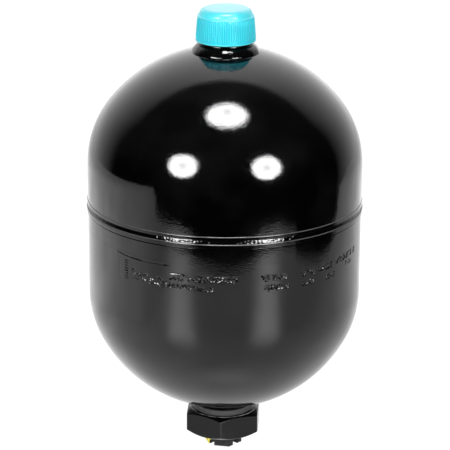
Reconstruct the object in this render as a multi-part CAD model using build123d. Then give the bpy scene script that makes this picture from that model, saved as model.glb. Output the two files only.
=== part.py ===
from build123d import *
import math
import os

os.makedirs("parts", exist_ok=True)

# Welded diaphragm accumulator of about 2.8 litres. All sizes are in millimetres.
# Z is up. z = 0 is the end face of the fluid port, and the vessel's axis is the Z axis.

# Vessel: two drawn shells, each a straight wall, a knuckle and a crown.
# The knuckle is centred knuckle_inset from the axis, and the crown is larger than the body.
body_radius = 87.0
shell_wall = 9.0
upper_straight = 24.4
upper_knuckle_inset = 24.0
upper_crown_excess = 7.0
lower_straight = 57.2
lower_knuckle_inset = 20.5
lower_crown_excess = 2.8

# Girth weld, the raised lips of the shells beside it, and the tapered land and groove below
weld_depth = 5.0
weld_above = 1.95
weld_below = 3.05
weld_crown = 0.8
upper_lip_rise = 0.3
upper_lip_height = 0.9
lower_lip_rise = 0.7
land_height = 4.7
land_foot_rise = 0.1
groove_width = 0.9
groove_depth = 0.35

# Fluid port fitting: hexagon, neck through the lower shell, pipe thread G 3/4
hex_across_flats = 46.0
hex_height = 15.3
hex_turn = -3.6
hex_bottom_face_radius = 22.5
hex_bottom_chamfer_angle = 32.0
hex_top_face_radius = 21.6
hex_top_chamfer_angle = 20.0
neck_radius = 17.5
neck_length = 5.1
port_core_radius = 12.06
port_thread_depth = 18.0
port_mouth_radius = 13.4
passage_radius = 7.5
seat_rise = 2.4
port_weld_leg = 4.2

# Gas boss on the upper shell, with a thread M28 x 1.5 for the charging device
boss_thread_radius = 14.0
boss_shoulder_width = 3.1
boss_shoulder_rise = 4.4
boss_edge_chamfer = 1.0
boss_thread_length = 13.6
boss_relief_depth = 1.1
boss_relief_length = 2.4
boss_spigot_radius = 12.0
boss_spigot_rise = 1.0
boss_weld_leg = 4.2
screw_recess_radius = 8.0
screw_recess_depth = 9.0
screw_hole_radius = 5.0
screw_hole_depth = 14.0
gas_duct_radius = 1.5

# Charging screw and its sealing ring
screw_head_radius = 6.8
screw_head_height = 6.0
screw_shank_length = 12.0
screw_socket_flats = 6.0
screw_socket_depth = 4.6
screw_tip_chamfer = 1.0
seal_thickness = 1.2
seal_rim_gap = 0.4

# Protective cap: its skirt stands out over the boss and tapers up to a shoulder
cap_rim_overhang = 1.85
cap_rim_height = 0.9
cap_taper = 1.25
cap_shoulder_height = 16.0
cap_shoulder_band = 0.8
cap_step = 0.9
cap_crown_height = 4.4
cap_crown_round = 4.2
cap_wall = 1.9
cap_roof = 1.8
cap_sleeve_wall = 1.2
cap_groove_depth = 11.0
cap_groove_tip = 0.4
cap_rib_count = 80
cap_rib_depth = 0.4
cap_lift_off_seat = 0.3

# Diaphragm, its moulded bead, the closing button and the clamp ring
rubber_thickness = 3.0
bead_groove_depth = 2.0
bead_groove_top = 5.0
bead_height = 9.4
bead_width = 7.9
bead_corner = 2.2
button_side_rubber = 3.2
button_disc_thickness = 4.0
button_disc_edge = 1.2
button_stem_radius = 4.0
button_head_radius = 8.5
button_head_thickness = 2.5
button_rubber_thickness = 3.5
clamp_ring_above = 6.0
clamp_lip_width = 3.0
clamp_ring_chamfer = 1.5

# Transit plug in the fluid port
plug_flange_radius = 15.6
plug_flange_thickness = 2.0
plug_barrel_length = 12.0
plug_barrel_chamfer = 1.0
plug_wall = 2.4
plug_head_flats = 21.3
plug_head_length = 7.6
plug_head_turn = 18.0
plug_slot_width = 4.0
plug_slot_depth = 3.5
plug_slot_turn = 48.0

# Clearances
seat_gap = 0.3
hole_gap = 0.15
thread_gap = 0.08
cap_thread_gap = 0.35

UPPER = (upper_straight, upper_knuckle_inset, upper_crown_excess)
LOWER = (lower_straight, lower_knuckle_inset, lower_crown_excess)


def crown_drop(dome):
    """How far the crown's centre lies below the top of the straight wall."""
    straight, inset, excess = dome
    return math.sqrt((inset + excess) ** 2 - inset ** 2)


def wall_height(dome, depth, radius):
    """Height above the weld plane of the crown, at a depth under its outside and a radius."""
    straight, inset, excess = dome
    crown = body_radius + excess - depth
    return straight - crown_drop(dome) + math.sqrt(crown ** 2 - radius ** 2)


# Levels that follow from the sizes above
weld_level = hex_height + neck_length + wall_height(LOWER, 0.0, 0.0)
upper_apex = weld_level + wall_height(UPPER, 0.0, 0.0)
port_seat_level = weld_level - wall_height(LOWER, shell_wall, 0.0) + seat_rise
cup_centre_level = weld_level - lower_straight + crown_drop(LOWER)
cup_crown = body_radius + lower_crown_excess - shell_wall - seat_gap
cup_foot_radius = math.sqrt(cup_crown ** 2 - (cup_centre_level - port_seat_level - seat_gap) ** 2)
button_disc_radius = cup_foot_radius - button_side_rubber
button_top_of_disc = port_seat_level + button_disc_thickness
button_top_of_rubber = button_top_of_disc + button_rubber_thickness
boss_shoulder_level = upper_apex + boss_shoulder_rise
boss_top_level = boss_shoulder_level + boss_thread_length
screw_seat_level = boss_top_level - screw_recess_depth
bead_groove_height = bead_height + 2.0 * seat_gap
inner_radius = body_radius - shell_wall
boss_radius = boss_thread_radius + boss_shoulder_width
cap_rim_radius = boss_radius + cap_rim_overhang
cap_shoulder_radius = cap_rim_radius - cap_taper


def at_upper(point):
    """Place a (radius, height) point of the upper shell."""
    return (point[0], weld_level + point[1])


def at_lower(point):
    """Place a (radius, height) point of the lower shell, whose heights run downwards."""
    return (point[0], weld_level - point[1])


def wall_line(dome, depth, start, end_radius, place):
    """One line of a shell's wall, from a start height along the straight wall to a radius."""
    straight, inset, excess = dome
    drop = crown_drop(dome)
    knuckle = body_radius - inset - depth
    crown = body_radius + excess - depth
    join = math.atan2(drop, inset)
    end = math.acos(end_radius / crown)

    def on_knuckle(angle):
        return place((inset + knuckle * math.cos(angle), straight + knuckle * math.sin(angle)))

    def on_crown(angle):
        return place((crown * math.cos(angle), straight - drop + crown * math.sin(angle)))

    return [
        Line(place((body_radius - depth, start)), on_knuckle(0.0)),
        ThreePointArc(on_knuckle(0.0), on_knuckle(join / 2), on_knuckle(join)),
        ThreePointArc(on_crown(join), on_crown((join + end) / 2), on_crown(end)),
    ]


def turned(edges):
    """Solid turned about the vessel's axis from a closed outline of radius and height."""
    return revolve(Plane.XZ * make_face(edges), Axis.Z)


def turned_outline(*points):
    """Solid turned from straight lines through the points."""
    return turned(Polyline(*points, close=True).edges())


def prism(across_flats, turn, bottom, top):
    """Upright hexagonal prism. A turn of 0 puts one corner straight to the front."""
    corner_radius = across_flats / math.sqrt(3)
    outline = RegularPolygon(corner_radius, 6, rotation=30 + turn)
    return Pos(0, 0, bottom) * extrude(outline, top - bottom)


def make_upper_shell():
    """Gas-side shell with a bevelled edge for the weld and a hole for the gas boss."""
    hole = boss_spigot_radius + hole_gap
    outside = wall_line(UPPER, 0.0, weld_above + upper_lip_height, hole, at_upper)
    inside = wall_line(UPPER, shell_wall, 0.0, hole, at_upper)
    rim = Polyline(
        outside[0] @ 0,
        at_upper((body_radius + upper_lip_rise, weld_above)),
        at_upper((body_radius - weld_depth, 0.0)),
        inside[0] @ 0,
    )
    edges = outside + inside + list(rim.edges())
    edges.append(Line(outside[-1] @ 1, inside[-1] @ 1))
    return turned(edges)


def make_lower_shell():
    """Fluid-side shell with its tapered land, the bead groove and a hole for the port neck."""
    hole = neck_radius + hole_gap
    groove_bottom = bead_groove_top + bead_groove_height
    outside = wall_line(LOWER, 0.0, land_height + groove_width, hole, at_lower)
    inside = wall_line(LOWER, shell_wall, groove_bottom + bead_groove_depth, hole, at_lower)
    groove_radius = inner_radius + bead_groove_depth
    rim = Polyline(
        outside[0] @ 0,
        at_lower((body_radius - groove_depth, land_height + groove_width / 2)),
        at_lower((body_radius + land_foot_rise, land_height)),
        at_lower((body_radius + lower_lip_rise, weld_below)),
        at_lower((body_radius - weld_depth, 0.0)),
        at_lower((inner_radius, 0.0)),
        at_lower((inner_radius, bead_groove_top)),
        at_lower((groove_radius, bead_groove_top)),
        at_lower((groove_radius, groove_bottom)),
        inside[0] @ 0,
    )
    edges = outside + inside + list(rim.edges())
    edges.append(Line(outside[-1] @ 1, inside[-1] @ 1))
    return turned(edges)


def make_shell_weld():
    """Girth weld: a V-shaped root between the two shells and a low crown outside."""
    root = at_lower((body_radius - weld_depth, 0.0))
    upper_toe = at_upper((body_radius + upper_lip_rise, weld_above))
    lower_toe = at_lower((body_radius + lower_lip_rise, weld_below))
    middle = at_lower((body_radius + weld_crown, (weld_below - weld_above) / 2))
    return turned([
        Line(root, upper_toe),
        ThreePointArc(upper_toe, middle, lower_toe),
        Line(lower_toe, root),
    ])


def fillet_weld(dome, place, radius, leg):
    """Hollow fillet weld in the corner between an upright cylinder and a crown."""
    outer = radius + leg
    middle = radius + leg / 2
    corner = place((radius, wall_height(dome, 0.0, radius)))
    under = place((middle, wall_height(dome, 0.0, middle)))
    toe = place((outer, wall_height(dome, 0.0, outer)))
    top = place((radius, wall_height(dome, 0.0, radius) + leg))
    hollow = 0.36 * leg
    dip = place((radius + hollow, wall_height(dome, 0.0, middle) + hollow))
    return turned([ThreePointArc(corner, under, toe), ThreePointArc(toe, dip, top), Line(top, corner)])


def make_port_fitting():
    """Hexagon with a neck through the shell, a threaded port, a passage and the button's seat."""
    corner_radius = hex_across_flats / math.sqrt(3)
    beyond = corner_radius + 1.0
    rise = (beyond - hex_bottom_face_radius) * math.tan(math.radians(hex_bottom_chamfer_angle))
    fall = (beyond - hex_top_face_radius) * math.tan(math.radians(hex_top_chamfer_angle))
    barrel = turned_outline(
        (0.0, 0.0),
        (hex_bottom_face_radius, 0.0),
        (beyond, rise),
        (beyond, hex_height - fall),
        (hex_top_face_radius, hex_height),
        (0.0, hex_height),
    )
    hexagon = prism(hex_across_flats, hex_turn, 0.0, hex_height) & barrel
    neck = Pos(0, 0, (hex_height + port_seat_level) / 2) * Cylinder(neck_radius, port_seat_level - hex_height)
    mouth_depth = port_mouth_radius - port_core_radius
    bore = turned_outline(
        (0.0, 0.0),
        (port_mouth_radius, 0.0),
        (port_core_radius, mouth_depth),
        (port_core_radius, port_thread_depth),
        (passage_radius, port_thread_depth + (port_core_radius - passage_radius) / 2),
        (passage_radius, port_seat_level),
        (0.0, port_seat_level),
    )
    return hexagon + neck - bore


def make_gas_boss(upper_shell):
    """Turned boss that sits on the crown, with the thread for the charging device."""
    spigot_end = weld_level + wall_height(UPPER, shell_wall, 0.0) - boss_spigot_rise
    foot = weld_level + wall_height(UPPER, 0.0, boss_radius)
    relief_radius = boss_thread_radius - boss_relief_depth
    blank = turned_outline(
        (0.0, spigot_end),
        (boss_spigot_radius, spigot_end),
        (boss_spigot_radius, foot),
        (boss_radius, foot),
        (boss_radius, boss_shoulder_level - boss_edge_chamfer),
        (boss_radius - boss_edge_chamfer, boss_shoulder_level),
        (relief_radius, boss_shoulder_level),
        (relief_radius, boss_shoulder_level + boss_relief_length - boss_relief_depth),
        (boss_thread_radius, boss_shoulder_level + boss_relief_length),
        (boss_thread_radius, boss_top_level - boss_relief_depth),
        (boss_thread_radius - boss_relief_depth, boss_top_level),
        (0.0, boss_top_level),
    )
    hole_end = screw_seat_level - screw_hole_depth
    bore = turned_outline(
        (0.0, boss_top_level),
        (screw_recess_radius, boss_top_level),
        (screw_recess_radius, screw_seat_level),
        (screw_hole_radius, screw_seat_level),
        (screw_hole_radius, hole_end),
        (gas_duct_radius, hole_end - (screw_hole_radius - gas_duct_radius) / 2),
        (gas_duct_radius, spigot_end),
        (0.0, spigot_end),
    )
    return blank - bore - upper_shell


def make_screw_seal():
    """Flat sealing ring under the head of the charging screw."""
    return turned_outline(
        (screw_hole_radius + seal_rim_gap, screw_seat_level),
        (screw_recess_radius - seal_rim_gap, screw_seat_level),
        (screw_recess_radius - seal_rim_gap, screw_seat_level + seal_thickness),
        (screw_hole_radius + seal_rim_gap, screw_seat_level + seal_thickness),
    )


def make_charging_screw():
    """Screw with a hexagon socket that closes the gas duct."""
    head_bottom = screw_seat_level + seal_thickness
    head_top = head_bottom + screw_head_height
    shank = screw_hole_radius - thread_gap
    tip = head_bottom - screw_shank_length
    blank = turned_outline(
        (0.0, tip),
        (shank - screw_tip_chamfer, tip),
        (shank, tip + screw_tip_chamfer),
        (shank, head_bottom),
        (screw_head_radius, head_bottom),
        (screw_head_radius, head_top - screw_tip_chamfer / 2),
        (screw_head_radius - screw_tip_chamfer / 2, head_top),
        (0.0, head_top),
    )
    return blank - prism(screw_socket_flats, 0.0, head_top - screw_socket_depth, head_top)


def ribbed_outline(crest_radius):
    """Closed outline of the cap's grip, with one trapezoid for each rib."""
    root_radius = crest_radius - cap_rib_depth
    pitch = 360.0 / cap_rib_count
    corners = []
    for rib in range(cap_rib_count):
        for share, radius in ((0.0, root_radius), (0.25, crest_radius), (0.6, crest_radius), (0.85, root_radius)):
            angle = math.radians((rib + share) * pitch)
            corners.append((radius * math.cos(angle), radius * math.sin(angle)))
    return make_face(Polyline(*corners, close=True).edges())


def make_protective_cap():
    """Screw cap: ribbed tapering skirt, stepped round crown, and an inner sleeve on the boss."""
    skirt_bottom = boss_shoulder_level + cap_lift_off_seat
    shoulder = skirt_bottom + cap_shoulder_height
    rib_bottom = skirt_bottom + cap_rim_height
    rib_top = shoulder - cap_shoulder_band
    crown_top = shoulder + cap_crown_height
    taper = (cap_rim_radius - cap_shoulder_radius) / cap_shoulder_height

    def side(level):
        return cap_rim_radius - taper * (level - skirt_bottom)

    crown_radius = cap_shoulder_radius - cap_step
    crown_flat = crown_radius - cap_crown_round
    half = math.radians(45.0)
    bend_centre = crown_top - cap_crown_round
    bend_middle = (crown_flat + cap_crown_round * math.cos(half), bend_centre + cap_crown_round * math.sin(half))
    core_bottom = side(rib_bottom) - cap_rib_depth
    core_top = side(rib_top) - cap_rib_depth
    outline = Polyline(
        (crown_radius, bend_centre),
        (crown_radius, shoulder),
        (cap_shoulder_radius, shoulder),
        (side(rib_top), rib_top),
        (core_top, rib_top),
        (core_bottom, rib_bottom),
        (side(rib_bottom), rib_bottom),
        (cap_rim_radius, skirt_bottom),
        (0.0, skirt_bottom),
        (0.0, crown_top),
        (crown_flat, crown_top),
    )
    bend = ThreePointArc((crown_flat, crown_top), bend_middle, (crown_radius, bend_centre))
    body = turned(list(outline.edges()) + [bend])
    ribs = loft(
        [
            Pos(0, 0, rib_bottom) * ribbed_outline(side(rib_bottom)),
            Pos(0, 0, rib_top) * ribbed_outline(side(rib_top)),
        ],
        ruled=True,
    )
    sleeve_inside = boss_thread_radius + cap_thread_gap
    sleeve_outside = sleeve_inside + cap_sleeve_wall
    hollow = turned_outline(
        (0.0, skirt_bottom),
        (sleeve_inside, skirt_bottom),
        (sleeve_inside, crown_top - cap_roof),
        (0.0, crown_top - cap_roof),
    )
    groove = turned_outline(
        (sleeve_outside, skirt_bottom),
        (cap_rim_radius - cap_wall, skirt_bottom),
        (sleeve_outside + cap_groove_tip, skirt_bottom + cap_groove_depth),
        (sleeve_outside, skirt_bottom + cap_groove_depth),
    )
    sleeve_end = turned_outline(
        (sleeve_inside, boss_shoulder_level),
        (sleeve_outside, boss_shoulder_level),
        (sleeve_outside, skirt_bottom),
        (sleeve_inside, skirt_bottom),
    )
    return body + ribs - hollow - groove + sleeve_end


def make_diaphragm():
    """Moulded rubber cup that lines the lower shell, with a bead and a base for the button."""
    outer_depth = shell_wall + seat_gap
    inner_depth = outer_depth + rubber_thickness
    inner_crown = cup_crown - rubber_thickness
    foot_level = port_seat_level + seat_gap
    bead_top = bead_groove_top + seat_gap
    bead_bottom = bead_top + bead_height
    bead_outside = inner_radius + bead_groove_depth - seat_gap
    hole = button_stem_radius + seat_gap
    recess = button_disc_radius + seat_gap
    floor_radius = math.sqrt(inner_crown ** 2 - (cup_centre_level - button_top_of_rubber) ** 2)
    outside = wall_line(LOWER, outer_depth, bead_bottom, cup_foot_radius, at_lower)
    inside = wall_line(LOWER, inner_depth, bead_bottom, floor_radius, at_lower)
    base = Polyline(
        outside[-1] @ 1,
        (recess, foot_level),
        (recess, button_top_of_disc),
        (hole, button_top_of_disc),
        (hole, button_top_of_rubber),
        inside[-1] @ 1,
    )
    cup = turned(outside + inside + list(base.edges()) + [Line(outside[0] @ 0, inside[0] @ 0)])
    bead_shape = Rectangle(bead_width, bead_height)
    bead_shape = fillet(bead_shape.vertices(), bead_corner)
    bead_middle = (bead_outside - bead_width / 2, weld_level - (bead_top + bead_bottom) / 2)
    bead = revolve(Plane.XZ * Pos(*bead_middle) * bead_shape, Axis.Z)
    return cup + bead


def make_closing_button():
    """Button snapped into the diaphragm's base, whose disc closes the port's passage."""
    top = button_top_of_rubber + button_head_thickness
    edge = button_disc_edge
    return turned_outline(
        (0.0, port_seat_level),
        (button_disc_radius - edge, port_seat_level),
        (button_disc_radius, port_seat_level + edge),
        (button_disc_radius, button_top_of_disc),
        (button_stem_radius, button_top_of_disc),
        (button_stem_radius, button_top_of_rubber),
        (button_head_radius, button_top_of_rubber),
        (button_head_radius, top - edge),
        (button_head_radius - edge, top),
        (0.0, top),
    )


def make_clamp_ring():
    """Ring that bridges the weld inside and presses the diaphragm's bead into its groove."""
    outside = inner_radius - hole_gap
    shelf = bead_groove_top
    bead_inside = inner_radius + bead_groove_depth - seat_gap - bead_width
    lip_outside = bead_inside - seat_gap
    lip_inside = lip_outside - clamp_lip_width
    lip_end = shelf + bead_groove_height
    chamfer_size = clamp_ring_chamfer
    corners = [
        (outside, shelf),
        (lip_outside, shelf),
        (lip_outside, lip_end - chamfer_size),
        (lip_outside - chamfer_size / 2, lip_end),
        (lip_inside + chamfer_size / 2, lip_end),
        (lip_inside, lip_end - chamfer_size),
        (lip_inside, chamfer_size - clamp_ring_above),
        (lip_inside + chamfer_size, -clamp_ring_above),
        (outside - chamfer_size, -clamp_ring_above),
        (outside, chamfer_size - clamp_ring_above),
    ]
    return turned_outline(*[at_lower(corner) for corner in corners])


def make_port_plug():
    """Moulded plug: hollow barrel in the port, flange on its face and a slotted hexagon head."""
    barrel_radius = port_core_radius - thread_gap
    head_bottom = -plug_flange_thickness - plug_head_length
    barrel = turned_outline(
        (0.0, -plug_flange_thickness),
        (plug_flange_radius, -plug_flange_thickness),
        (plug_flange_radius, 0.0),
        (barrel_radius, 0.0),
        (barrel_radius, plug_barrel_length - plug_barrel_chamfer),
        (barrel_radius - plug_barrel_chamfer, plug_barrel_length),
        (0.0, plug_barrel_length),
    )
    hollow_radius = barrel_radius - plug_wall
    hollow = Pos(0, 0, plug_barrel_length / 2) * Cylinder(hollow_radius, plug_barrel_length)
    head = prism(plug_head_flats, plug_head_turn, head_bottom, -plug_flange_thickness)
    plug = barrel + head - hollow
    slot = Box(2 * plug_head_flats, plug_slot_width, 2 * plug_slot_depth)
    for turn in (plug_slot_turn, plug_slot_turn + 90.0):
        plug = plug - Pos(0, 0, head_bottom) * Rot(0, 0, turn) * slot
    return plug


upper_shell = make_upper_shell()
lower_shell = make_lower_shell()

pieces = {
    "upper_shell": upper_shell,
    "lower_shell": lower_shell,
    "shell_weld": make_shell_weld(),
    "clamp_ring": make_clamp_ring(),
    "diaphragm": make_diaphragm(),
    "closing_button": make_closing_button(),
    "gas_boss": make_gas_boss(upper_shell),
    "gas_boss_weld": fillet_weld(UPPER, at_upper, boss_radius, boss_weld_leg),
    "charging_screw": make_charging_screw(),
    "charging_screw_seal": make_screw_seal(),
    "protective_cap": make_protective_cap(),
    "port_fitting": make_port_fitting(),
    "port_weld": fillet_weld(LOWER, at_lower, neck_radius, port_weld_leg),
    "port_plug": make_port_plug(),
}

for name, shape in pieces.items():
    export_step(shape, f"parts/{name}.step")
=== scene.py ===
"""Looks of a welded diaphragm accumulator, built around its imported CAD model.

The body is two drawn shells under black gloss paint, joined by a girth weld. A turquoise cap
covers the gas connection on top, and a hexagon with a transit plug stands under the body.
All sizes are in metres, in the frame of the CAD model, with z = 0 at the fluid port's end face.
"""

import math
import random

import bmesh
import bpy
import numpy as np
from bpy.props import FloatProperty, FloatVectorProperty, IntProperty, PointerProperty
from mathutils import Euler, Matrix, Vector


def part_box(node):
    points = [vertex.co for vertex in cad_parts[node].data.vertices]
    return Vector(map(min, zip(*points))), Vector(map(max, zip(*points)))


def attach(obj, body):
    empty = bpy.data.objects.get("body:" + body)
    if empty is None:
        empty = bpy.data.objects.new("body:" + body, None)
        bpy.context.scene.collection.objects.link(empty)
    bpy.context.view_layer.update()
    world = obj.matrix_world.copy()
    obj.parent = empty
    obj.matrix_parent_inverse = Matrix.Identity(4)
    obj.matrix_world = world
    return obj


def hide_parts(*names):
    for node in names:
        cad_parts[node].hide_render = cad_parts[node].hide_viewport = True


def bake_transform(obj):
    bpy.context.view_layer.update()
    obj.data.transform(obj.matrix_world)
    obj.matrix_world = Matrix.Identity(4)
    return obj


bl_info = {
    "name": "Diaphragm Accumulator",
    "version": (1, 0, 0),
    "blender": (4, 5, 0),
    "location": "3D View > Sidebar > Accumulator",
    "description": "Builds the shells, welds, fittings and stage of a diaphragm accumulator",
    "category": "Object",
}

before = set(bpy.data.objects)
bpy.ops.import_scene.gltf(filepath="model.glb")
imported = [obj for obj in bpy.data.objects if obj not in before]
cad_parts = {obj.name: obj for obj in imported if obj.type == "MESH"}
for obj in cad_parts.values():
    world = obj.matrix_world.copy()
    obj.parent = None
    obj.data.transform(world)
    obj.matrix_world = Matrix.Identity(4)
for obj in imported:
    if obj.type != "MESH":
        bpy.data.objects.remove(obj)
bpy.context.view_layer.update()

WELD_ABOVE = 0.00195
WELD_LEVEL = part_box("shell_weld")[1].z - WELD_ABOVE
BOSS_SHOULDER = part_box("protective_cap")[0].z
BOSS_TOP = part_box("gas_boss")[1].z
PORT_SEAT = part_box("closing_button")[0].z
FLOOR_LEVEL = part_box("port_plug")[0].z


def length(name, description, default):
    """A size that the user can change, in metres."""
    return FloatProperty(
        name=name, description=description, default=default, unit="LENGTH", precision=5
    )


def colour(name, description, default):
    """A paint or plastic colour, as linear red, green and blue."""
    return FloatVectorProperty(
        name=name, description=description, default=default, subtype="COLOR", size=3, min=0, max=1
    )


class ShellSizes(bpy.types.PropertyGroup):
    """The two drawn shells and the lips beside the girth weld."""

    body_radius: length("Body radius", "Outside radius of the straight walls", 0.087)
    wall: length("Wall", "Thickness of both shells", 0.009)
    upper_straight: length("Upper straight", "Straight wall above the weld plane", 0.0244)
    upper_inset: length("Upper inset", "Radius on which the upper knuckle is centred", 0.024)
    upper_excess: length("Upper excess", "Crown radius beyond the body radius", 0.007)
    lower_straight: length("Lower straight", "Straight wall under the weld plane", 0.0572)
    lower_inset: length("Lower inset", "Radius on which the lower knuckle is centred", 0.0205)
    lower_excess: length("Lower excess", "Crown radius beyond the body radius", 0.0028)
    upper_lip_rise: length("Upper lip rise", "How far the upper lip stands out", 0.0003)
    upper_lip_edge: length("Upper lip edge", "Top of the upper lip over the weld plane", 0.00285)
    lower_lip_rise: length("Lower lip rise", "How far the land stands out", 0.0006)
    land_foot: length("Land foot", "Depth of the land's foot under the weld plane", 0.0047)
    groove_width: length("Groove width", "Turned groove under the land", 0.0009)
    groove_depth: length("Groove depth", "Depth of the turned groove", 0.00035)
    weld_depth: length("Weld depth", "Depth of the weld's root", 0.005)
    lip_round: length("Lip round", "Radius of the lips' edges", 0.00075)
    shrinkage: length("Shrinkage", "How far the weld drew the walls in", 0.00005)
    shrunk_width: length("Shrunk width", "Width of the wall that is drawn in", 0.0095)
    weld_above: length("Weld above", "Upper weld toe over the weld plane", 0.00055)
    weld_below: length("Weld below", "Lower weld toe under the weld plane", 0.00195)


class MarkSizes(bpy.types.PropertyGroup):
    """The plain ticks and dots that are punched into the lower shell."""

    depth: length("Depth", "Depth of a punched mark", 0.00034)
    width: length("Width", "Half width of a punched stroke", 0.00036)
    pitch: length("Pitch", "Distance from one mark to the next", 0.0017)
    grid: length("Grid", "Mesh size of the wall where marks are punched", 0.00031)


class WeldSizes(bpy.types.PropertyGroup):
    """The beads of the girth weld and of the two fillet welds."""

    recess: length("Recess", "How far the girth weld starts behind the wall", 0.0007)
    girth_crown: length("Girth crown", "Bulge of the girth weld", 0.00002)
    girth_ripples: IntProperty(
        name="Girth ripples", description="Ripples round the girth weld", default=240, min=1
    )
    fillet_leg: length("Fillet leg", "Leg of the welds round boss and neck", 0.0042)
    fillet_crown: length("Fillet crown", "Bulge of the fillet welds", 0.0008)
    fillet_ripples: IntProperty(
        name="Fillet ripples", description="Ripples round a fillet weld", default=40, min=1
    )
    ripple_depth: length("Ripple depth", "Depth of the ripples", 0.00002)
    unevenness: length("Unevenness", "Random height of the beads", 0.0003)


class FittingSizes(bpy.types.PropertyGroup):
    """The hexagon with its port and the gas boss."""

    hex_flats: length("Across flats", "Hexagon across its flats", 0.046)
    hex_height: length("Hexagon height", "Height of the hexagon", 0.0153)
    hex_turn: FloatProperty(
        name="Hexagon turn", description="Turn from a corner at the front",
        default=math.radians(-3.6), subtype="ANGLE",
    )
    hex_bottom_face: length("Bottom face", "Radius of the hexagon's end face", 0.0225)
    hex_top_face: length("Top face", "Radius of the hexagon's upper face", 0.0216)
    neck_radius: length("Neck radius", "Radius of the neck over the hexagon", 0.0175)
    port_core: length("Port core", "Radius inside the port thread", 0.01206)
    port_mouth: length("Port mouth", "Radius of the countersink", 0.0134)
    port_thread: length("Port thread", "Depth of the port thread", 0.018)
    port_pitch: length("Port pitch", "Pitch of the pipe thread", 0.001814)
    passage: length("Passage", "Radius of the fluid's passage", 0.0075)
    boss_radius: length("Boss radius", "Radius of the gas boss's shoulder", 0.0171)
    boss_thread: length("Boss thread", "Outside radius of the boss thread", 0.014)
    boss_pitch: length("Boss pitch", "Pitch of the boss thread", 0.0015)
    boss_relief: length("Boss relief", "Height of the thread run-out", 0.0024)
    spigot: length("Spigot", "Radius of the boss inside the shell", 0.012)
    recess: length("Recess", "Radius of the recess for the charging screw", 0.008)
    recess_depth: length("Recess depth", "Depth of that recess", 0.009)
    screw_hole: length("Screw hole", "Radius of the charging screw's hole", 0.005)
    screw_hole_depth: length("Screw hole depth", "Depth of that hole", 0.014)
    gas_duct: length("Gas duct", "Radius of the gas duct", 0.0015)


class CapSizes(bpy.types.PropertyGroup):
    """The screw cap over the gas connection."""

    rim_radius: length("Rim radius", "Radius at the skirt's lower edge", 0.01895)
    rim_height: length("Rim height", "Plain band under the ribs", 0.0009)
    shoulder_radius: length("Shoulder radius", "Radius at the top of the skirt", 0.0177)
    shoulder_height: length("Shoulder height", "Height of the skirt", 0.016)
    band: length("Shoulder band", "Plain band over the ribs", 0.0008)
    step: length("Step", "Step from the skirt in to the crown", 0.0009)
    crown_height: length("Crown height", "Height of the crown over the skirt", 0.0044)
    crown_round: length("Crown round", "Radius of the crown's edge", 0.0042)
    roof: length("Roof", "Thickness of the roof", 0.0018)
    wall: length("Wall", "Thickness of the skirt at its edge", 0.0019)
    bore: length("Bore", "Radius inside the sleeve", 0.01435)
    sleeve: length("Sleeve", "Thickness of the sleeve", 0.0012)
    groove: length("Groove", "Depth of the groove in the skirt", 0.011)
    rib_count: IntProperty(name="Ribs", description="Ribs round the skirt", default=80, min=3)
    rib_depth: length("Rib depth", "Depth of the ribs", 0.0005)


class PlugSizes(bpy.types.PropertyGroup):
    """The transit plug in the fluid port."""

    flange_radius: length("Flange radius", "Radius of the flange", 0.0156)
    flange: length("Flange", "Thickness of the flange", 0.002)
    barrel: length("Barrel", "Length of the barrel in the port", 0.012)
    barrel_radius: length("Barrel radius", "Outside radius of the barrel", 0.01198)
    wall: length("Wall", "Thickness of the barrel", 0.0024)
    head_flats: length("Head flats", "Hexagon head across its flats", 0.0213)
    head_turn: FloatProperty(
        name="Head turn", description="Turn of the head", default=math.radians(18.0), subtype="ANGLE"
    )
    slot_width: length("Slot width", "Width of the cross slots", 0.004)
    slot_depth: length("Slot depth", "Depth of the cross slots", 0.0035)
    slot_turn: FloatProperty(
        name="Slot turn", description="Turn of the slots", default=math.radians(48.0), subtype="ANGLE"
    )


class DiaphragmSizes(bpy.types.PropertyGroup):
    """The rubber cup between gas and fluid."""

    rubber: length("Rubber", "Thickness of the cup", 0.003)
    gap: length("Gap", "Clearance to the metal", 0.0003)
    bead_width: length("Bead width", "Width of the bead", 0.0079)
    bead_height: length("Bead height", "Height of the bead", 0.0094)
    bead_round: length("Bead round", "Corner radius of the bead", 0.0022)
    bead_level: length("Bead level", "Top of the bead under the weld plane", 0.0053)
    groove_radius: length("Groove radius", "Radius of the groove that holds the bead", 0.080)
    disc_radius: length("Disc radius", "Radius of the button's disc", 0.0163)
    disc_height: length("Disc height", "Thickness of the button's disc", 0.004)
    stem_radius: length("Stem radius", "Radius of the button's stem", 0.004)
    base: length("Base", "Rubber between disc and head of the button", 0.0035)


class Finishes(bpy.types.PropertyGroup):
    """Colours of the paints, plastics and metals."""

    black: colour("Black paint", "Gloss paint of shells, welds and hexagon", (0.0004, 0.0004, 0.0004))
    cap: colour("Cap plastic", "Turquoise plastic of the cap", (0.085, 0.77, 0.88))
    overspray: colour("Overspray", "Black paint on the plug", (0.012, 0.012, 0.012))
    plug: colour("Plug plastic", "Yellow plastic of the plug", (0.78, 0.68, 0.03))
    rubber: colour("Rubber", "Rubber of the diaphragm", (0.018, 0.018, 0.019))
    steel: colour("Steel", "Turned steel of ring and screw", (0.42, 0.42, 0.41))
    button: colour("Button plastic", "Plastic of the closing button", (0.06, 0.06, 0.06))
    copper: colour("Copper", "Sealing ring of the charging screw", (0.72, 0.38, 0.24))


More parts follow.
